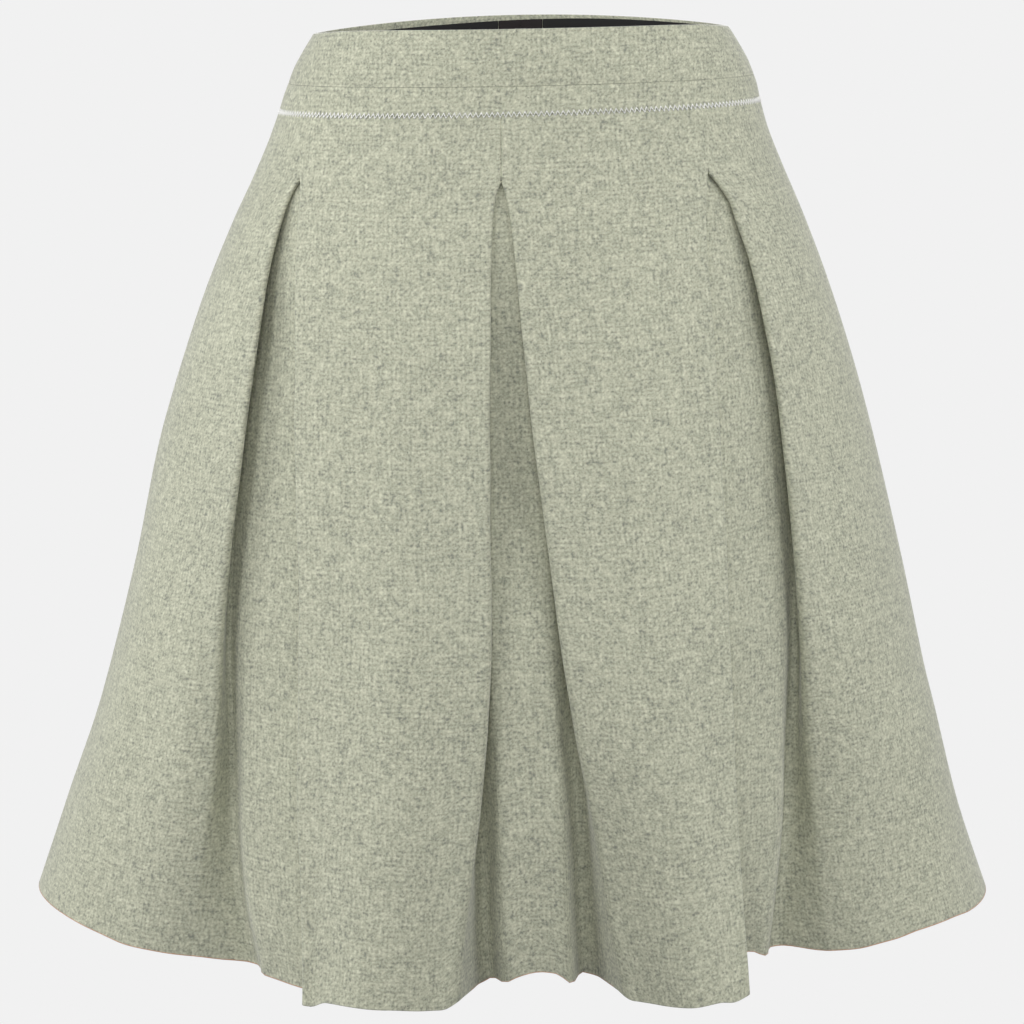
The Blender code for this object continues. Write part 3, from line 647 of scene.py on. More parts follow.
def panel_faces(rows_of, start, end, pleats, swells, creases, wool, rounding):
    """Points of a panel's outer and inner face, level by level."""
    outer, inner = [], []
    for drop in rows_of:
        level = Level(drop)
        path = panel_path(level, start, end, pleats, swells, creases, wool, rounding)
        way = np.gradient(path, axis=0)
        way /= np.hypot(*way.T)[:, None]
        inward = np.c_[-way[:, 1], way[:, 0]]
        slant = level.slant_at(path[:, 0])
        middle = path[:, 1] + wool / 2 * (slant - 1)
        top = rolled(drop - PANEL_TOP, rounding)
        groove = seam_groove(level, pleats, start >= RIGHT_SEAM, path[:, 0])
        ends = [rolled(min(abs(a - path[0, 0]), abs(path[-1, 0] - a)), rounding) for a in path[:, 0]]
        for face, side in ((outer, -1), (inner, 1)):
            reach = np.full(len(path), wool / 2) if side > 0 else wool / 2 - np.maximum(ends, top) - groove
            along = path[:, 0] + side * reach * inward[:, 0]
            dent = middle + side * reach * inward[:, 1] * slant
            x, y = level.place(along, dent)
            face.append([(px, py, level.height(px, py)) for px, py in zip(x, y)])
    return np.array(outer), np.array(inner)


def panel_drops():
    """Levels of the panels: closer together where a seam or a pleat's mouth starts."""
    drops = [PANEL_TOP + share * MM for share in ROUND_STEPS]
    drops += list(np.arange(drops[-1] + ROW_STEP, RELEASE - RELEASE_GAP - MM / 10, ROW_STEP))
    drops += [RELEASE - RELEASE_GAP, RELEASE + RELEASE_GAP]
    drops += list(np.arange(RELEASE + MOUTH_ROW_STEP, MOUTH_ROWS_END, MOUTH_ROW_STEP))
    count = round((LENGTH - drops[-1]) / ROW_STEP)
    return drops + between(drops[-1], LENGTH - FRAY, count) + [LENGTH]


def lay_grid(build, points):
    """A grid of faces whose points lie where the rows of points say."""
    rows, columns = points.shape[:2]
    made = bmesh.ops.create_grid(build, x_segments=columns - 1, y_segments=rows - 1, size=0.5)["verts"]
    for vertex, place in zip(made, points.reshape(-1, 3)):
        vertex.co = place
    return made


def cloth_shell(name, outer, inner, columns, middles, finishes, rim=0, frayed=()):
    """A closed cloth wall between an outer and an inner grid of points, with a map of its cloth in metres.
    rim is the finish of its lowest edge, which shows round the edge on the frayed stretches."""
    build = bmesh.new()
    sides = [lay_grid(build, outer), lay_grid(build, inner)]
    build.verts.index_update()
    bmesh.ops.reverse_faces(build, faces=[face for face in build.faces if face.verts[0].index < len(sides[0])])
    edges = [edge for edge in build.edges if edge.is_boundary]
    joined = bmesh.ops.bridge_loops(build, edges=edges)["faces"]
    rows, across = outer.shape[:2]
    last_row = {vertex for side in sides for vertex in side[-across:]}
    for face in build.faces:
        face.smooth = True
    for face in joined:
        face.smooth = False
        if all(vertex in last_row for vertex in face.verts):
            face.material_index = rim
    bmesh.ops.recalc_face_normals(build, faces=joined)
    mesh = bpy.data.meshes.new(name)
    build.to_mesh(mesh)
    build.free()
    map_cloth(mesh, (outer + inner) / 2, columns, middles, rim, frayed)
    for finish in finishes:
        mesh.materials.append(finish)
    return placed(name, mesh)


def placed(name, data):
    """An object of this mesh, light or camera in the scene."""
    made = bpy.data.objects.new(name, data)
    bpy.context.scene.collection.objects.link(made)
    return made


def map_cloth(mesh, middle, columns, middles, rim, frayed):
    """Lays the cloth's own map on a shell: each stretch is measured from its middle column, in metres.
    The lowest row of the frayed stretches gets the rim's finish."""
    rows, across = middle.shape[:2]
    sideways = np.linalg.norm(np.diff(middle, axis=1), axis=2)
    sideways = np.concatenate([np.zeros((rows, 1)), np.cumsum(sideways, axis=1)], axis=1)
    down = np.linalg.norm(np.diff(middle[:, middles], axis=0), axis=2)
    down = np.concatenate([np.zeros((1, len(middles))), np.cumsum(down, axis=0)], axis=0)
    corners = np.empty(len(mesh.loops), np.int64)
    mesh.loops.foreach_get("vertex_index", corners)
    starts = np.empty(len(mesh.polygons), np.int64)
    mesh.polygons.foreach_get("loop_start", starts)
    face_of = np.repeat(np.arange(len(starts)), np.diff(np.r_[starts, len(corners)]))
    row, column = np.divmod(corners % (rows * across), across)
    lowest = np.full(len(starts), across)
    np.minimum.at(lowest, face_of, column)
    stretch = columns[np.minimum(lowest[face_of], across - 2)]
    u = sideways[row, column] - sideways[row, middles[stretch]] + stretch
    v = -down[row, stretch]
    layer = mesh.uv_layers.new(name="cloth")
    layer.data.foreach_set("uv", np.c_[u, v].astype(np.float32).ravel())
    if frayed:
        finish = np.empty(len(starts), np.int32)
        mesh.polygons.foreach_get("material_index", finish)
        highest = np.full(len(starts), rows)
        np.minimum.at(highest, face_of, row)
        outside = np.maximum.reduceat(corners, starts) < rows * across
        finish[outside & (highest >= rows - 2) & np.isin(stretch[starts], frayed)] = rim
        mesh.polygons.foreach_set("material_index", finish)


def cut_size(middle):
    """A sheet's cut from the points through its middle: its widest row, a column's length and its area."""
    across = np.linalg.norm(np.diff(middle, axis=1), axis=2).sum(axis=1).max()
    column = middle[:, middle.shape[1] // 4]
    down = np.linalg.norm(np.diff(column, axis=0), axis=1).sum()
    faces = np.cross(middle[1:, 1:] - middle[:-1, :-1], middle[:-1, 1:] - middle[1:, :-1])
    return float(across), float(down), float(np.linalg.norm(faces, axis=2).sum() / 2)


def declare_cloth(made, middle):
    """Says what the sheet was cut to, in whole millimetres."""
    width, length, area = cut_size(middle)
    width, length = (math.ceil(side / MM) * MM for side in (width, length))
    print("sheet", made.name, f"{width:.3f} x {length:.3f} m, {area:.4f} m2")


def settle(made, slot, *replaced, body="skirt"):
    """Rides a piece on a body, in place of these solids. The slot is not used."""
    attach(made, body)
    if replaced:
        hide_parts(*replaced)


class Finish:
    """A material being made: a shader and short ways to add the nodes that feed it."""

    def __init__(self, name, roughness, **sockets):
        self.made = bpy.data.materials.new(name)
        self.made.use_nodes = True
        self.tree = self.made.node_tree
        self.shader = self.tree.nodes["Principled BSDF"]
        self.fill(self.shader, Roughness=roughness, **sockets)

    def feed(self, socket, value):
        """Links a socket to what feeds it, or gives it a plain value."""
        if isinstance(value, bpy.types.NodeSocket):
            self.tree.links.new(value, socket)
        else:
            socket.default_value = value

    def fill(self, node, **sockets):
        for name, value in sockets.items():
            self.feed(node.inputs[name.replace("_", " ")], value)
        return node

    def add(self, kind, **sockets):
        return self.fill(self.tree.nodes.new("ShaderNode" + kind), **sockets)

    def cloth_map(self):
        node = self.add("UVMap")
        node.uv_map = "cloth"
        return node.outputs["UV"]

    def object_place(self):
        return self.add("TexCoord").outputs["Object"]

    def mapped(self, source, scale, turn=0.0, shift=(0, 0, 0)):
        node = self.add("Mapping", Vector=source, Scale=scale, Rotation=(0, 0, turn), Location=shift)
        return node.outputs["Vector"]

    def turned_map(self, source, turn, scale, shift=(0, 0, 0)):
        """A map turned first and stretched after, so that marks run along the turned way."""
        return self.mapped(self.mapped(source, (1, 1, 1), turn, shift), scale)

    def noise(self, source, scale, detail=2.0, roughness=0.5):
        node = self.add("TexNoise", Vector=source, Scale=scale, Detail=detail, Roughness=roughness)
        return node.outputs["Fac"]

    def wave(self, source, pitch, way):
        """Wavering bands of this pitch."""
        node = self.add("TexWave", Vector=source, Scale=2 * math.pi / 20 / pitch, Distortion=3.0, Detail=2.0,
                        Detail_Scale=2.0)
        node.bands_direction = way
        return node.outputs["Fac"]

    def math(self, operation, *values):
        node = self.add("Math")
        node.operation = operation
        for socket, value in zip(node.inputs, values):
            self.feed(socket, value)
        return node.outputs[0]

    def blend_sum(self, *weighted):
        """0.5 plus each noise's distance from 0.5 times its weight."""
        total = 0.5
        for source, weight in weighted:
            centred = self.math("SUBTRACT", source, 0.5)
            total = self.math("MULTIPLY_ADD", centred, weight, total)
        return total

    def ramp(self, source, *stops):
        node = self.add("ValToRGB", Fac=source)
        elements = node.color_ramp.elements
        while len(elements) < len(stops):
            elements.new(0.5)
        for element, (position, colour) in zip(elements, stops):
            element.position = position
            element.color = (*colour, 1)
        return node.outputs["Color"]

    def mix(self, factor, first, second, mode="MIX"):
        node = self.add("Mix")
        node.data_type = "RGBA"
        node.blend_type = mode
        for index, value in ((0, factor), (6, first), (7, second)):
            self.feed(node.inputs[index], (*value, 1) if isinstance(value, tuple) else value)
        return node.outputs[2]

    def bump(self, height, distance, strength=1.0):
        node = self.add("Bump", Height=height, Distance=distance, Strength=strength)
        self.fill(self.shader, Normal=node.outputs["Normal"])

    def colour(self, source):
        self.fill(self.shader, Base_Color=(*source, 1) if isinstance(source, tuple) else source)


WEAVE_PITCH = 0.00265


def wool_finish(colours):
    """Brushed melange wool: short fibres of three tones along a fine twill, faint slubs and dark flecks."""
    finish = Finish("melange_wool", 0.92, Sheen_Weight=0.40, Sheen_Roughness=0.45, Specular_IOR_Level=0.2)
    cloth = finish.cloth_map()
    place = finish.object_place()
    twill = finish.noise(finish.turned_map(cloth, math.radians(52), (1.0, 0.6, 1.0)), 820, 2.0, 0.6)
    across = finish.turned_map(cloth, math.radians(-38), (1.0, 0.7, 1.0), (0.3, 0.1, 0))
    cross = finish.noise(across, 780, 2.0, 0.6)
    slub = finish.noise(finish.mapped(cloth, (0.15, 1.0, 1.0)), 700, 2.0, 0.55)
    warp = finish.noise(finish.mapped(cloth, (1.0, 0.15, 1.0)), 700, 2.0, 0.55)
    ribs = finish.wave(cloth, WEAVE_PITCH, "X")
    rows = finish.wave(cloth, WEAVE_PITCH, "Y")
    mottle = finish.noise(place, 250, 2.0, 0.5)
    cloud = finish.noise(place, 26, 2.0, 0.5)
    tone = finish.blend_sum((twill, 1.02), (cross, 0.88), (slub, 0.46), (warp, 0.42), (ribs, 0.07), (rows, 0.07),
                            (mottle, 0.68), (cloud, 0.12))
    wool, dark, pale = (tuple(value) for value in (colours.wool, colours.wool_dark, colours.wool_pale))
    base = finish.ramp(tone, (0.12, dark), (0.50, wool), (0.88, pale))
    hue = finish.noise(finish.mapped(cloth, (1, 1, 1), 0.4, (0.7, 0.2, 0)), 430, 2.0, 0.5)
    tinted = finish.mix(finish.math("MULTIPLY", hue, 0.35), base, (0.40, 0.45, 0.42), "SOFT_LIGHT")
    fleck = finish.noise(finish.mapped(cloth, (1, 1, 1), 0.9, (0.4, 0.6, 0)), 620, 1.0, 0.5)
    few = finish.math("MULTIPLY", finish.math("GREATER_THAN", fleck, 0.735), 0.55)
    finish.colour(finish.mix(few, tinted, (0.10, 0.105, 0.10)))
    height = finish.blend_sum((twill, 1.0), (cross, 0.8), (mottle, 0.5))
    finish.bump(height, 0.0005, 0.22)
    return finish.made


def cut_edge_finish(colours):
    """The raw edge at the hem, where the cloth's coloured core shows between loose fibres."""
    finish = Finish("raw_cut_edge", 0.9, Sheen_Weight=0.2)
    grain = finish.noise(finish.object_place(), 1400, 2.0, 0.6)
    finish.colour(finish.ramp(grain, (0.3, tuple(colours.cut_edge)), (0.75, (0.62, 0.45, 0.33))))
    finish.bump(grain, 0.0004, 0.6)
    return finish.made


def plain_cloth_finish(name, colour, lift, scale):
    """A fine plain weave: threads crossing at right angles."""
    finish = Finish(name, 0.8, Sheen_Weight=0.08)
    cloth = finish.cloth_map()
    weft = finish.noise(finish.mapped(cloth, (0.2, 1.0, 1.0)), scale, 1.0)
    warp = finish.noise(finish.mapped(cloth, (1.0, 0.2, 1.0)), scale, 1.0)
    weave = finish.blend_sum((weft, 1.0), (warp, 1.0))
    pale = tuple(value * lift for value in colour)
    finish.colour(finish.ramp(weave, (0.2, colour), (0.8, pale)))
    finish.bump(weave, 0.0003, 0.5)
    return finish.made


def coil_finish():
    """Dark moulded coil with a satin skin."""
    finish = Finish("zip_coil", 0.42)
    grain = finish.noise(finish.object_place(), 900, 2.0)
    finish.colour(finish.ramp(grain, (0.3, (0.012, 0.012, 0.012)), (0.8, (0.030, 0.030, 0.030))))
    finish.bump(grain, 0.0001, 0.3)
    return finish.made


def metal_finish(colours):
    """Dark plated zinc with fine brush marks along the tab."""
    finish = Finish("plated_zip_metal", 0.32, Metallic=1.0)
    place = finish.object_place()
    brushed = finish.noise(finish.mapped(place, (1.0, 1.0, 0.05)), 4000, 2.0)
    worn = finish.noise(place, 700, 3.0)
    colour = tuple(colours.metal)
    bright = tuple(min(1.0, value * 1.9) for value in colour)
    finish.colour(finish.ramp(worn, (0.35, colour), (0.8, bright)))
    rough = finish.math("MULTIPLY_ADD", brushed, 0.25, 0.2)
    finish.fill(finish.shader, Roughness=rough)
    finish.bump(brushed, 0.00004, 0.5)
    return finish.made


def thread_finish(colours):
    """Spun white thread: a faint ply and loose hairs."""
    finish = Finish("spun_thread", 0.7, Sheen_Weight=0.2)
    ply = finish.noise(finish.object_place(), 3000, 2.0)
    pale = tuple(colours.thread)
    finish.colour(finish.ramp(ply, (0.25, tuple(value * 0.86 for value in pale)), (0.6, pale)))
    finish.bump(ply, 0.0001, 0.5)
    return finish.made


def finish_named(name, make):
    """The material of this name, made on first use."""
    return bpy.data.materials.get(name) or make()


def wool_material(scene):
    return finish_named("melange_wool", lambda: wool_finish(scene.skirt_colours))


def make_panel(scene, name, start, end, pleats, swells, creases, frayed):
    """A wool panel in place of its solid. The raw hem shows on the frayed stretches of cloth."""
    sizes = scene.skirt_cloth
    outer, inner = panel_faces(panel_drops(), start, end, pleats, swells, creases, sizes.wool, sizes.edge_round)
    columns, middles = stretches_of(len(pleats))
    cut_edge = finish_named("raw_cut_edge", lambda: cut_edge_finish(scene.skirt_colours))
    finishes = wool_material(scene), cut_edge
    made = cloth_shell(name + "_cloth", outer, inner, columns, middles, finishes, 1, frayed)
    settle(made, "wool", name)
    declare_cloth(made, (outer + inner) / 2)


def band_faces(start, end, top, bottom, outer, thickness, gaps, rounding, bulge, steps, top_fall=None,
               head_round=None, foot_round=None, foot_outer=None):
    """Points of a band's outer and inner face between two angles and two drops. gaps gives the gap at each
    end by drop, and top_fall lowers the top edge by the place across the skirt. The top and bottom edge can
    have their own rounding, and the outer face can end at its own depth at the bottom."""
    head_round, foot_round = head_round or rounding, foot_round or rounding
    edge = [rounding * share for share in ROUND_STEPS]
    inner_rows = max(2, round((bottom - top) / BAND_ROW_STEP))
    drops = [top + e for e in edge] + between(top + edge[-1], bottom - edge[-1], inner_rows)[:-1]
    drops += [bottom - e for e in reversed(edge)]
    faces = ([], [])
    for drop in drops:
        down = (drop - top) / (bottom - top)
        roll = max(rolled(drop - top, head_round), rolled(bottom - drop, foot_round))
        face = outer if foot_outer is None else outer + (foot_outer - outer) * eased((down - 0.6) / 0.4)
        level = level_near(drop)
        first = level.at_angle(start) + gaps[0](drop)
        last = level.at_angle(end) - gaps[1](drop)
        alongs = [first + e for e in edge] + between(first + edge[-1], last - edge[-1], steps)[:-1]
        alongs += [last - e for e in reversed(edge)]
        rows = ([], [])
        for along in alongs:
            here = level
            if top_fall:
                here = level_near(drop + top_fall(level.place(along, 0.0)[0]) * (1 - down))
            spot = along / level.along[-1] * here.along[-1]
            back = max(roll, rolled(min(along - alongs[0], alongs[-1] - along), rounding))
            back *= min(1.0, thickness / 2 / rounding)
            proud = bulge * math.sin(math.pi * down)
            rows[0].append(here.point(spot, face - proud + back))
            rows[1].append(here.point(spot, outer + thickness - back))
        faces[0].append(rows[0])
        faces[1].append(rows[1])
    return np.array(faces[0]), np.array(faces[1])


def make_band(name, node, finish, slot, held, rests_on, *shape, **options):
    """A band, facing or tape in place of its solid."""
    outer, inner = band_faces(*shape, **options)
    across = outer.shape[1]
    made = cloth_shell(name, outer, inner, np.zeros(across - 1, int), np.array([across // 2]), (finish,))
    settle(made, slot, node)
    declare_cloth(made, (outer + inner) / 2)


def seam(drop):
    """Half the gap at a side seam."""
    return PANEL_GAP / 2


def zip_seam(drop):
    """Half the gap at the centre back: wider where the slider's neck stands in it."""
    return ZIP_NECK_HALF if NECK_TOP <= drop <= NECK_FOOT else ZIP_CLOSED_HALF


def tape_edge(drop):
    """How far from the centre back a facing ends: beside the zip's tape."""
    return TAPE_WIDTH + SEAM_GAP + ZIP_NECK_HALF


def facing_fall(x):
    """How far the facing's top edge lies under the band's top edge there."""
    return FACING_FALL_LEFT + (FACING_FALL_RIGHT - FACING_FALL_LEFT) * eased((x + 0.09) / 0.16)


# Pieces of each band: their ends, steps, and the gap at each end of the bands and then of the facings
SIDES = (
    ("front", LEFT_SEAM, RIGHT_SEAM, BAND_STEPS, seam, seam, seam, seam),
    ("back_right", RIGHT_SEAM, CENTRE_BACK, BAND_STEPS // 2, seam, zip_seam, seam, tape_edge),
    ("back_left", CENTRE_BACK, LEFT_SEAM_AGAIN, BAND_STEPS // 2, zip_seam, seam, tape_edge, seam),
)


class SKIRT_OT_front_panel(bpy.types.Operator):
    """The front panel with its three pleats"""

    bl_idname = "skirt.front_panel"
    bl_label = "Front Panel"

    def execute(self, context):
        pleats = ((PLEAT_LEFT, SEAM_LEFT, HANG_LEFT), (PLEAT_CENTRE, SEAM_CENTRE, HANG_CENTRE),
                  (PLEAT_RIGHT, SEAM_RIGHT, HANG_RIGHT))
        make_panel(context.scene, "skirt_front", LEFT_SEAM, RIGHT_SEAM, pleats,
                   ("side_left", "front_left", "front_right", "side_right"), FRONT_CREASES,
                   (0, 1, 3, 5, 6))
        return {"FINISHED"}


def mirrored(table, reach):
    """The same pleat on the other side, its mouth at this share of the distance from the middle."""
    rows = [table[0]]
    for drop, in_x, out_x, *pairs in table[1:]:
        swapped = [value for i in range(0, len(pairs), 2) for value in (pairs[i + 1], pairs[i])]
        middle, half = -(in_x + out_x) / 2 * reach, abs(in_x - out_x) / 2
        rows.append((drop, middle + half, middle - half, *swapped))
    return tuple(rows)


class SKIRT_OT_back_panels(bpy.types.Operator):
    """The two back panels, each with a pleat"""

    bl_idname = "skirt.back_panels"
    bl_label = "Back Panels"

    def execute(self, context):
        left_pleat = mirrored(PLEAT_BACK_RIGHT, BACK_LEFT_REACH)
        left_seam = (SEAM_COLUMNS, *((drop, -x * BACK_LEFT_REACH, ditch) for drop, x, ditch in SEAM_BACK[1:]))
        make_panel(context.scene, "skirt_back_right", RIGHT_SEAM, CENTRE_BACK,
                   ((PLEAT_BACK_RIGHT, SEAM_BACK, HANG_BACK),),
                   ("back_side", "back_centre"), BACK_CREASES, (0, 1))
        make_panel(context.scene, "skirt_back_left", CENTRE_BACK, LEFT_SEAM_AGAIN,
                   ((left_pleat, left_seam, HANG_BACK),),
                   ("back_centre", "back_side"), BACK_CREASES, (1, 2))
        return {"FINISHED"}


class SKIRT_OT_bands(bpy.types.Operator):
    """The waistband and the strip under it, each in a front and two back pieces"""

    bl_idname = "skirt.bands"
    bl_label = "Bands"

    def execute(self, context):
        sizes = context.scene.skirt_cloth
        wool = wool_material(context.scene)
        for side, start, end, steps, gap_in, gap_out, *_ in SIDES:
            thick = SOLID_CLOTH + BAND_PROUD
            make_band("band_" + side, "waistband_" + side, wool, "wool", "stretched", ["waist"],
                      start, end, 0.0, BAND_HEIGHT + SEAM_DITCH, -BAND_PROUD, thick, (gap_in, gap_out),
                      sizes.edge_round, sizes.band_bulge, steps, foot_round=SEAM_ROUND, foot_outer=0.0)
            make_band("strip_" + side, "yoke_strip_" + side, wool, "wool", "stretched", ["waistband_" + side],
                      start, end, BAND_HEIGHT + 2 * SEAM_DITCH, PANEL_TOP - SEAM_DITCH, 0.0, SOLID_CLOTH,
                      (gap_in, gap_out), sizes.edge_round, sizes.band_bulge / 2, steps, head_round=SEAM_ROUND)
        return {"FINISHED"}


class SKIRT_OT_facings(bpy.types.Operator):
    """The black facing inside the band"""

    bl_idname = "skirt.facings"
    bl_label = "Facings"

    def execute(self, context):
        colour = tuple(context.scene.skirt_colours.facing)
        black = finish_named("facing_cloth", lambda: plain_cloth_finish("facing_cloth", colour, 2.2, 1800))
        for side, start, end, steps, _, _, gap_in, gap_out in SIDES:
            make_band("facing_cloth_" + side, "facing_" + side, black, "facing_cloth", "stretched",
                      ["waistband_" + side], start, end, 0.0, FACING_END, SOLID_CLOTH + SEAM_GAP, FACING,
                      (gap_in, gap_out), FACING_ROUND, 0.0, steps, top_fall=facing_fall)
        return {"FINISHED"}


class SKIRT_OT_zip(bpy.types.Operator):
    """The concealed zip: tapes, coils, slider and pull tab"""

    bl_idname = "skirt.zip"
    bl_label = "Zip"

    def execute(self, context):
        colours = context.scene.skirt_colours
        tape = finish_named("zip_tape", lambda: plain_cloth_finish("zip_tape", TAPE_COLOUR, 2.4, 2600))
        for side, *edges in (("left", zip_seam, far_edge), ("right", far_edge, zip_seam)):
            make_band("tape_" + side, "zip_tape_" + side, tape, "zip_tape", "hung", ["waistband_back_" + side],
                      CENTRE_BACK, CENTRE_BACK, 0.0, ZIP_END, SOLID_CLOTH + SEAM_GAP, TAPE, edges,
                      TAPE_ROUND, 0.0, TAPE_STEPS, top_fall=facing_fall)
        settle(make_coils(finish_named("zip_coil", coil_finish)), "zip_coil", "zip_chain")
        metal = finish_named("plated_zip_metal", lambda: metal_finish(colours))
        settle(softened("slider", "zip_slider", metal), "slider_metal", "zip_slider")
        settle(softened("pull_tab", "zip_pull", metal), "pull_metal", "zip_pull", body="pull")
        return {"FINISHED"}


def far_edge(drop):
    """A tape's far edge, past the centre back it is laid from."""
    return -TAPE_WIDTH - ZIP_NECK_HALF


def make_coils(finish):
    """Two rows of coils, locked together behind the tapes."""
    build = bmesh.new()
    depth = SOLID_CLOTH + SEAM_GAP + TAPE + SEAM_GAP + TOOTH_SIZE[1] / 2
    count = int((ZIP_END - CHAIN_STOP - CHAIN_TOP) / TOOTH_PITCH)
    for i in range(count):
        drop = CHAIN_TOP + i * TOOTH_PITCH
        level, below = level_near(drop), level_near(drop + MM)
        place = Vector(level.point(level.at_angle(CENTRE_BACK), depth))
        lean = math.atan2(below.back - level.back, MM)
        tooth = bmesh.ops.create_cube(build, size=1.0)["verts"]
        bmesh.ops.scale(build, vec=TOOTH_SIZE, verts=tooth)
        bmesh.ops.rotate(build, cent=(0, 0, 0), verts=tooth, matrix=Matrix.Rotation(lean, 3, "X"))
        shift = Vector((TOOTH_SHIFT if i % 2 else -TOOTH_SHIFT, 0, 0))
        bmesh.ops.translate(build, vec=place + shift, verts=tooth)
    bmesh.ops.bevel(build, geom=build.edges[:], offset=TOOTH_BEVEL, offset_type="OFFSET", segments=1,
                    profile=0.5, affect="EDGES", material=-1)
    return finished_mesh("zip_coils", build, finish)


def finished_mesh(name, build, finish, smooth=True):
    """An object of this finished bmesh, with one material."""
    mesh = bpy.data.meshes.new(name)
    for face in build.faces:
        face.smooth = smooth
    build.to_mesh(mesh)
    build.free()
    mesh.materials.append(finish)
    return placed(name, mesh)


def softened(name, node, finish):
    """A copy of a small metal solid with its edges eased."""
    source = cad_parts[node]
    build = bmesh.new()
    build.from_mesh(source.data)
    build.transform(source.matrix_world)
    bmesh.ops.remove_doubles(build, verts=build.verts, dist=1e-6)
    bmesh.ops.dissolve_limit(build, angle_limit=math.radians(2), verts=build.verts, edges=build.edges)
    sharp = [edge for edge in build.edges if edge.calc_face_angle(0) > math.radians(35)]
    bmesh.ops.bevel(build, geom=sharp, offset=PULL_BEVEL, offset_type="OFFSET", segments=2, profile=0.5,
                    affect="EDGES", material=-1, clamp_overlap=True)
    bmesh.ops.triangulate(build, faces=[face for face in build.faces if len(face.verts) > 4])
    return finished_mesh(name, build, finish, smooth=False)


def thread_mesh(name, lines, radius, finish):
    """A thread along each line of points."""
    curve = bpy.data.curves.new(name, "CURVE")
    curve.dimensions = "3D"
    curve.bevel_depth = radius
    curve.bevel_resolution = 1
    curve.use_fill_caps = True
    for line in lines:
        spline = curve.splines.new("POLY")
        spline.points.add(len(line) - 1)
        for point, place in zip(spline.points, line):
            point.co = (*place, 1)
    holder = placed(name + "_line", curve)
    graph = bpy.context.evaluated_depsgraph_get()
    mesh = bpy.data.meshes.new_from_object(holder.evaluated_get(graph))
    bpy.data.objects.remove(holder)
    mesh.name = name
    mesh.materials.clear()
    mesh.materials.append(finish)
    mesh.shade_smooth()
    return placed(name, mesh)


def tack_lines(thread):
    """Short stitches side by side across the seam, just over the place where the centre pleat opens."""
    lines = []
    for i in range(TACK_STITCHES):
        level = Level(RELEASE - TACK_PITCH * (i + 1))
        middle = level.at_x(read(SEAM_CENTRE, "x", level.drop) * MM, 0.0, False)
        lines.append([level.point(middle + TACK_HALF * side, -thread * TACK_LIFT * (1 - side * side))
                      for side in (-1.0, -0.5, 0.0, 0.5, 1.0)])
    return lines


class SKIRT_OT_stitching(bpy.types.Operator):
    """The white zigzag under the strip and a bar tack where the centre pleat opens"""

    bl_idname = "skirt.stitching"
    bl_label = "Stitching"

    def execute(self, context):
        sizes = context.scene.skirt_stitch
        finish = finish_named("spun_thread", lambda: thread_finish(context.scene.skirt_colours))
        level = Level(sizes.drop)
        count = round(level.along[-1] / sizes.pitch)
        upper, lower = Level(sizes.drop - sizes.height / 2), Level(sizes.drop + sizes.height / 2)
        line = []
        for i in range(2 * count + 1):
            edge = upper if i % 2 else lower
            along = edge.along[-1] * min(i / (2 * count), 1.0)
            spread = 1 + ZIGZAG_UNEVEN * noise.noise(Vector((i * 0.37, 1.3, 0)))
            sunk = ZIGZAG_SINK * abs(edge.place(along, 0.0)[0] / edge.width) ** 6
            line.append(edge.point(along, -sizes.thread * (ZIGZAG_LIFT * spread - sunk)))
        settle(thread_mesh("zigzag_thread", [line], sizes.thread, finish), "wool")
        wool = wool_material(context.scene)
        tack = thread_mesh("bar_tack_centre", tack_lines(sizes.thread), sizes.thread * TACK_THREAD, wool)
        settle(tack, "wool")
        return {"FINISHED"}


class SKIRT_OT_stage(bpy.types.Operator):
    """The floor, the camera and the lights"""

    bl_idname = "skirt.stage"
    bl_label = "Stage"

    def execute(self, context):
        scene = context.scene
        stage = scene.skirt_stage
        make_floor(stage)
        make_world(scene, stage)
        make_camera(scene)
        for name, place, size, power in LIGHTS:
            add_light(name, place, size, power * stage.light)
        scene.view_settings.view_transform = "Standard"
        scene.view_settings.look = "None"
        return {"FINISHED"}


# Soft lights: name, place, size and power in watts
LIGHTS = (
    ("front", (0.0, -2.35, 0.75), 1.2, 21.0),
    ("front_left", (-1.15, -1.05, 0.40), 1.0, 10.2),
    ("front_right", (1.15, -1.05, 0.40), 1.0, 9.4),
    ("left", (-2.15, 0.15, 0.35), 1.6, 29.0),
    ("right", (2.15, 0.1, 0.35), 1.6, 19.5),
    ("back", (0.3, 2.4, 0.7), 1.6, 26.0),
)
LIGHT_AIM = Vector((0, 0, -0.26))
FLOOR_RADIUS = 14.0
FLOOR_HEIGHT = -0.545


def make_floor(stage):
    """A plain pale floor that glows as brightly as the sky round it."""
    build = bmesh.new()
    bmesh.ops.create_circle(build, cap_ends=True, segments=96, radius=FLOOR_RADIUS)
    bmesh.ops.translate(build, vec=(0, 0, FLOOR_HEIGHT), verts=build.verts)
    glow = (stage.backdrop, stage.backdrop, stage.backdrop, 1)
    finish = Finish("pale_floor", 1.0, Specular_IOR_Level=0.0, Base_Color=(0, 0, 0, 1), Emission_Color=glow,
                    Emission_Strength=1.0)
    floor = finished_mesh("floor", build, finish.made, smooth=False)
    floor.visible_diffuse = False


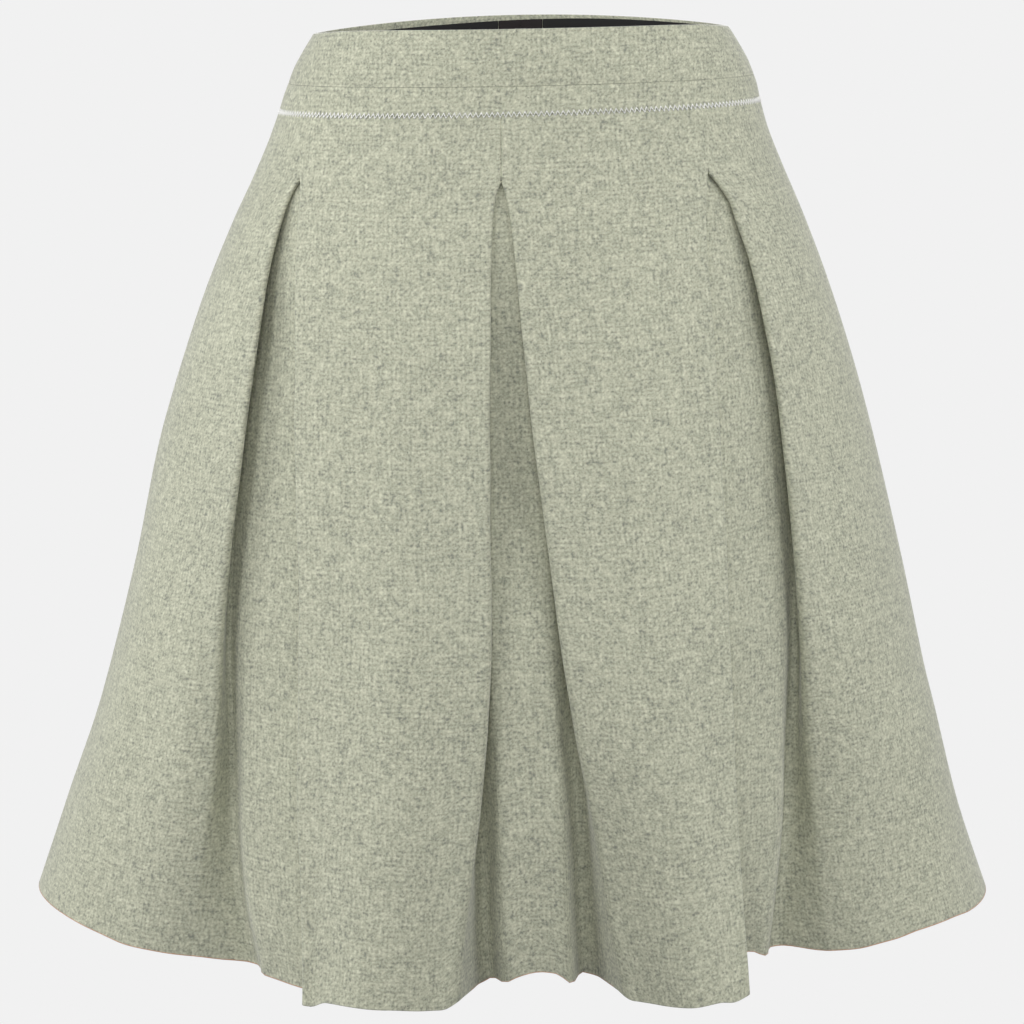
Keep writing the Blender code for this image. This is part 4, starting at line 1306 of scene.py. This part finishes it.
def make_world(scene, stage):
    """A sky of the floor's brightness to the camera, and a dim even light to all else."""
    world = bpy.data.worlds.new("studio")
    world.use_nodes = True
    tree = world.node_tree
    seen = tree.nodes["Background"]
    seen.inputs["Color"].default_value = (stage.backdrop, stage.backdrop, stage.backdrop, 1)
    round_light = tree.nodes.new("ShaderNodeBackground")
    round_light.inputs["Strength"].default_value = stage.ambient
    path = tree.nodes.new("ShaderNodeLightPath")
    choice = tree.nodes.new("ShaderNodeMixShader")
    tree.links.new(path.outputs["Is Camera Ray"], choice.inputs["Fac"])
    tree.links.new(round_light.outputs[0], choice.inputs[1])
    tree.links.new(seen.outputs[0], choice.inputs[2])
    tree.links.new(choice.outputs[0], tree.nodes["World Output"].inputs["Surface"])
    scene.world = world


CAMERA_PLACE = (-0.005, -1.741, 0.0497)
CAMERA_TILT = math.radians(10.63)
CAMERA_LENS = 108.35


def make_camera(scene):
    """The photo's viewpoint."""
    camera = bpy.data.cameras.new("camera")
    camera.lens = CAMERA_LENS
    camera.sensor_width = 36.0
    camera.clip_start, camera.clip_end = 0.05, 60.0
    holder = placed("camera", camera)
    holder.location = CAMERA_PLACE
    holder.rotation_euler = (math.pi / 2 - CAMERA_TILT, 0, 0)
    scene.camera = holder


def add_light(name, place, size, power):
    """A soft round light aimed at the middle of the skirt."""
    light = bpy.data.lights.new(name, "AREA")
    light.shape = "DISK"
    light.size = size
    light.energy = power
    holder = placed(name, light)
    holder.location = place
    holder.rotation_euler = (LIGHT_AIM - Vector(place)).to_track_quat("-Z", "Y").to_euler()


class SKIRT_PT_pieces(bpy.types.Panel):
    """Sizes, colours and pieces of the skirt"""

    bl_label = "Pleated Skirt"
    bl_idname = "SKIRT_PT_pieces"
    bl_space_type = "VIEW_3D"
    bl_region_type = "UI"
    bl_category = "Skirt"

    def draw(self, context):
        for group in GROUPS:
            values = getattr(context.scene, group)
            for name in values.__annotations__:
                self.layout.prop(values, name)
        for operator in OPERATORS:
            self.layout.operator(operator.bl_idname)


GROUPS = {
    "skirt_cloth": SkirtClothSizes,
    "skirt_stitch": SkirtStitchSizes,
    "skirt_colours": SkirtColours,
    "skirt_stage": SkirtStage,
}
OPERATORS = (
    SKIRT_OT_front_panel,
    SKIRT_OT_back_panels,
    SKIRT_OT_bands,
    SKIRT_OT_facings,
    SKIRT_OT_zip,
    SKIRT_OT_stitching,
    SKIRT_OT_stage,
)


def register():
    for made in (*GROUPS.values(), *OPERATORS, SKIRT_PT_pieces):
        bpy.utils.register_class(made)
    for name, group in GROUPS.items():
        setattr(bpy.types.Scene, name, PointerProperty(type=group))


def unregister():
    for name in GROUPS:
        delattr(bpy.types.Scene, name)
    for made in (SKIRT_PT_pieces, *reversed(OPERATORS), *reversed(tuple(GROUPS.values()))):
        bpy.utils.unregister_class(made)


def main():
    register()
    bpy.ops.skirt.front_panel()
    bpy.ops.skirt.back_panels()
    bpy.ops.skirt.bands()
    bpy.ops.skirt.facings()
    bpy.ops.skirt.zip()
    bpy.ops.skirt.stitching()
    bpy.ops.skirt.stage()


if __name__ == "__main__":
    main()
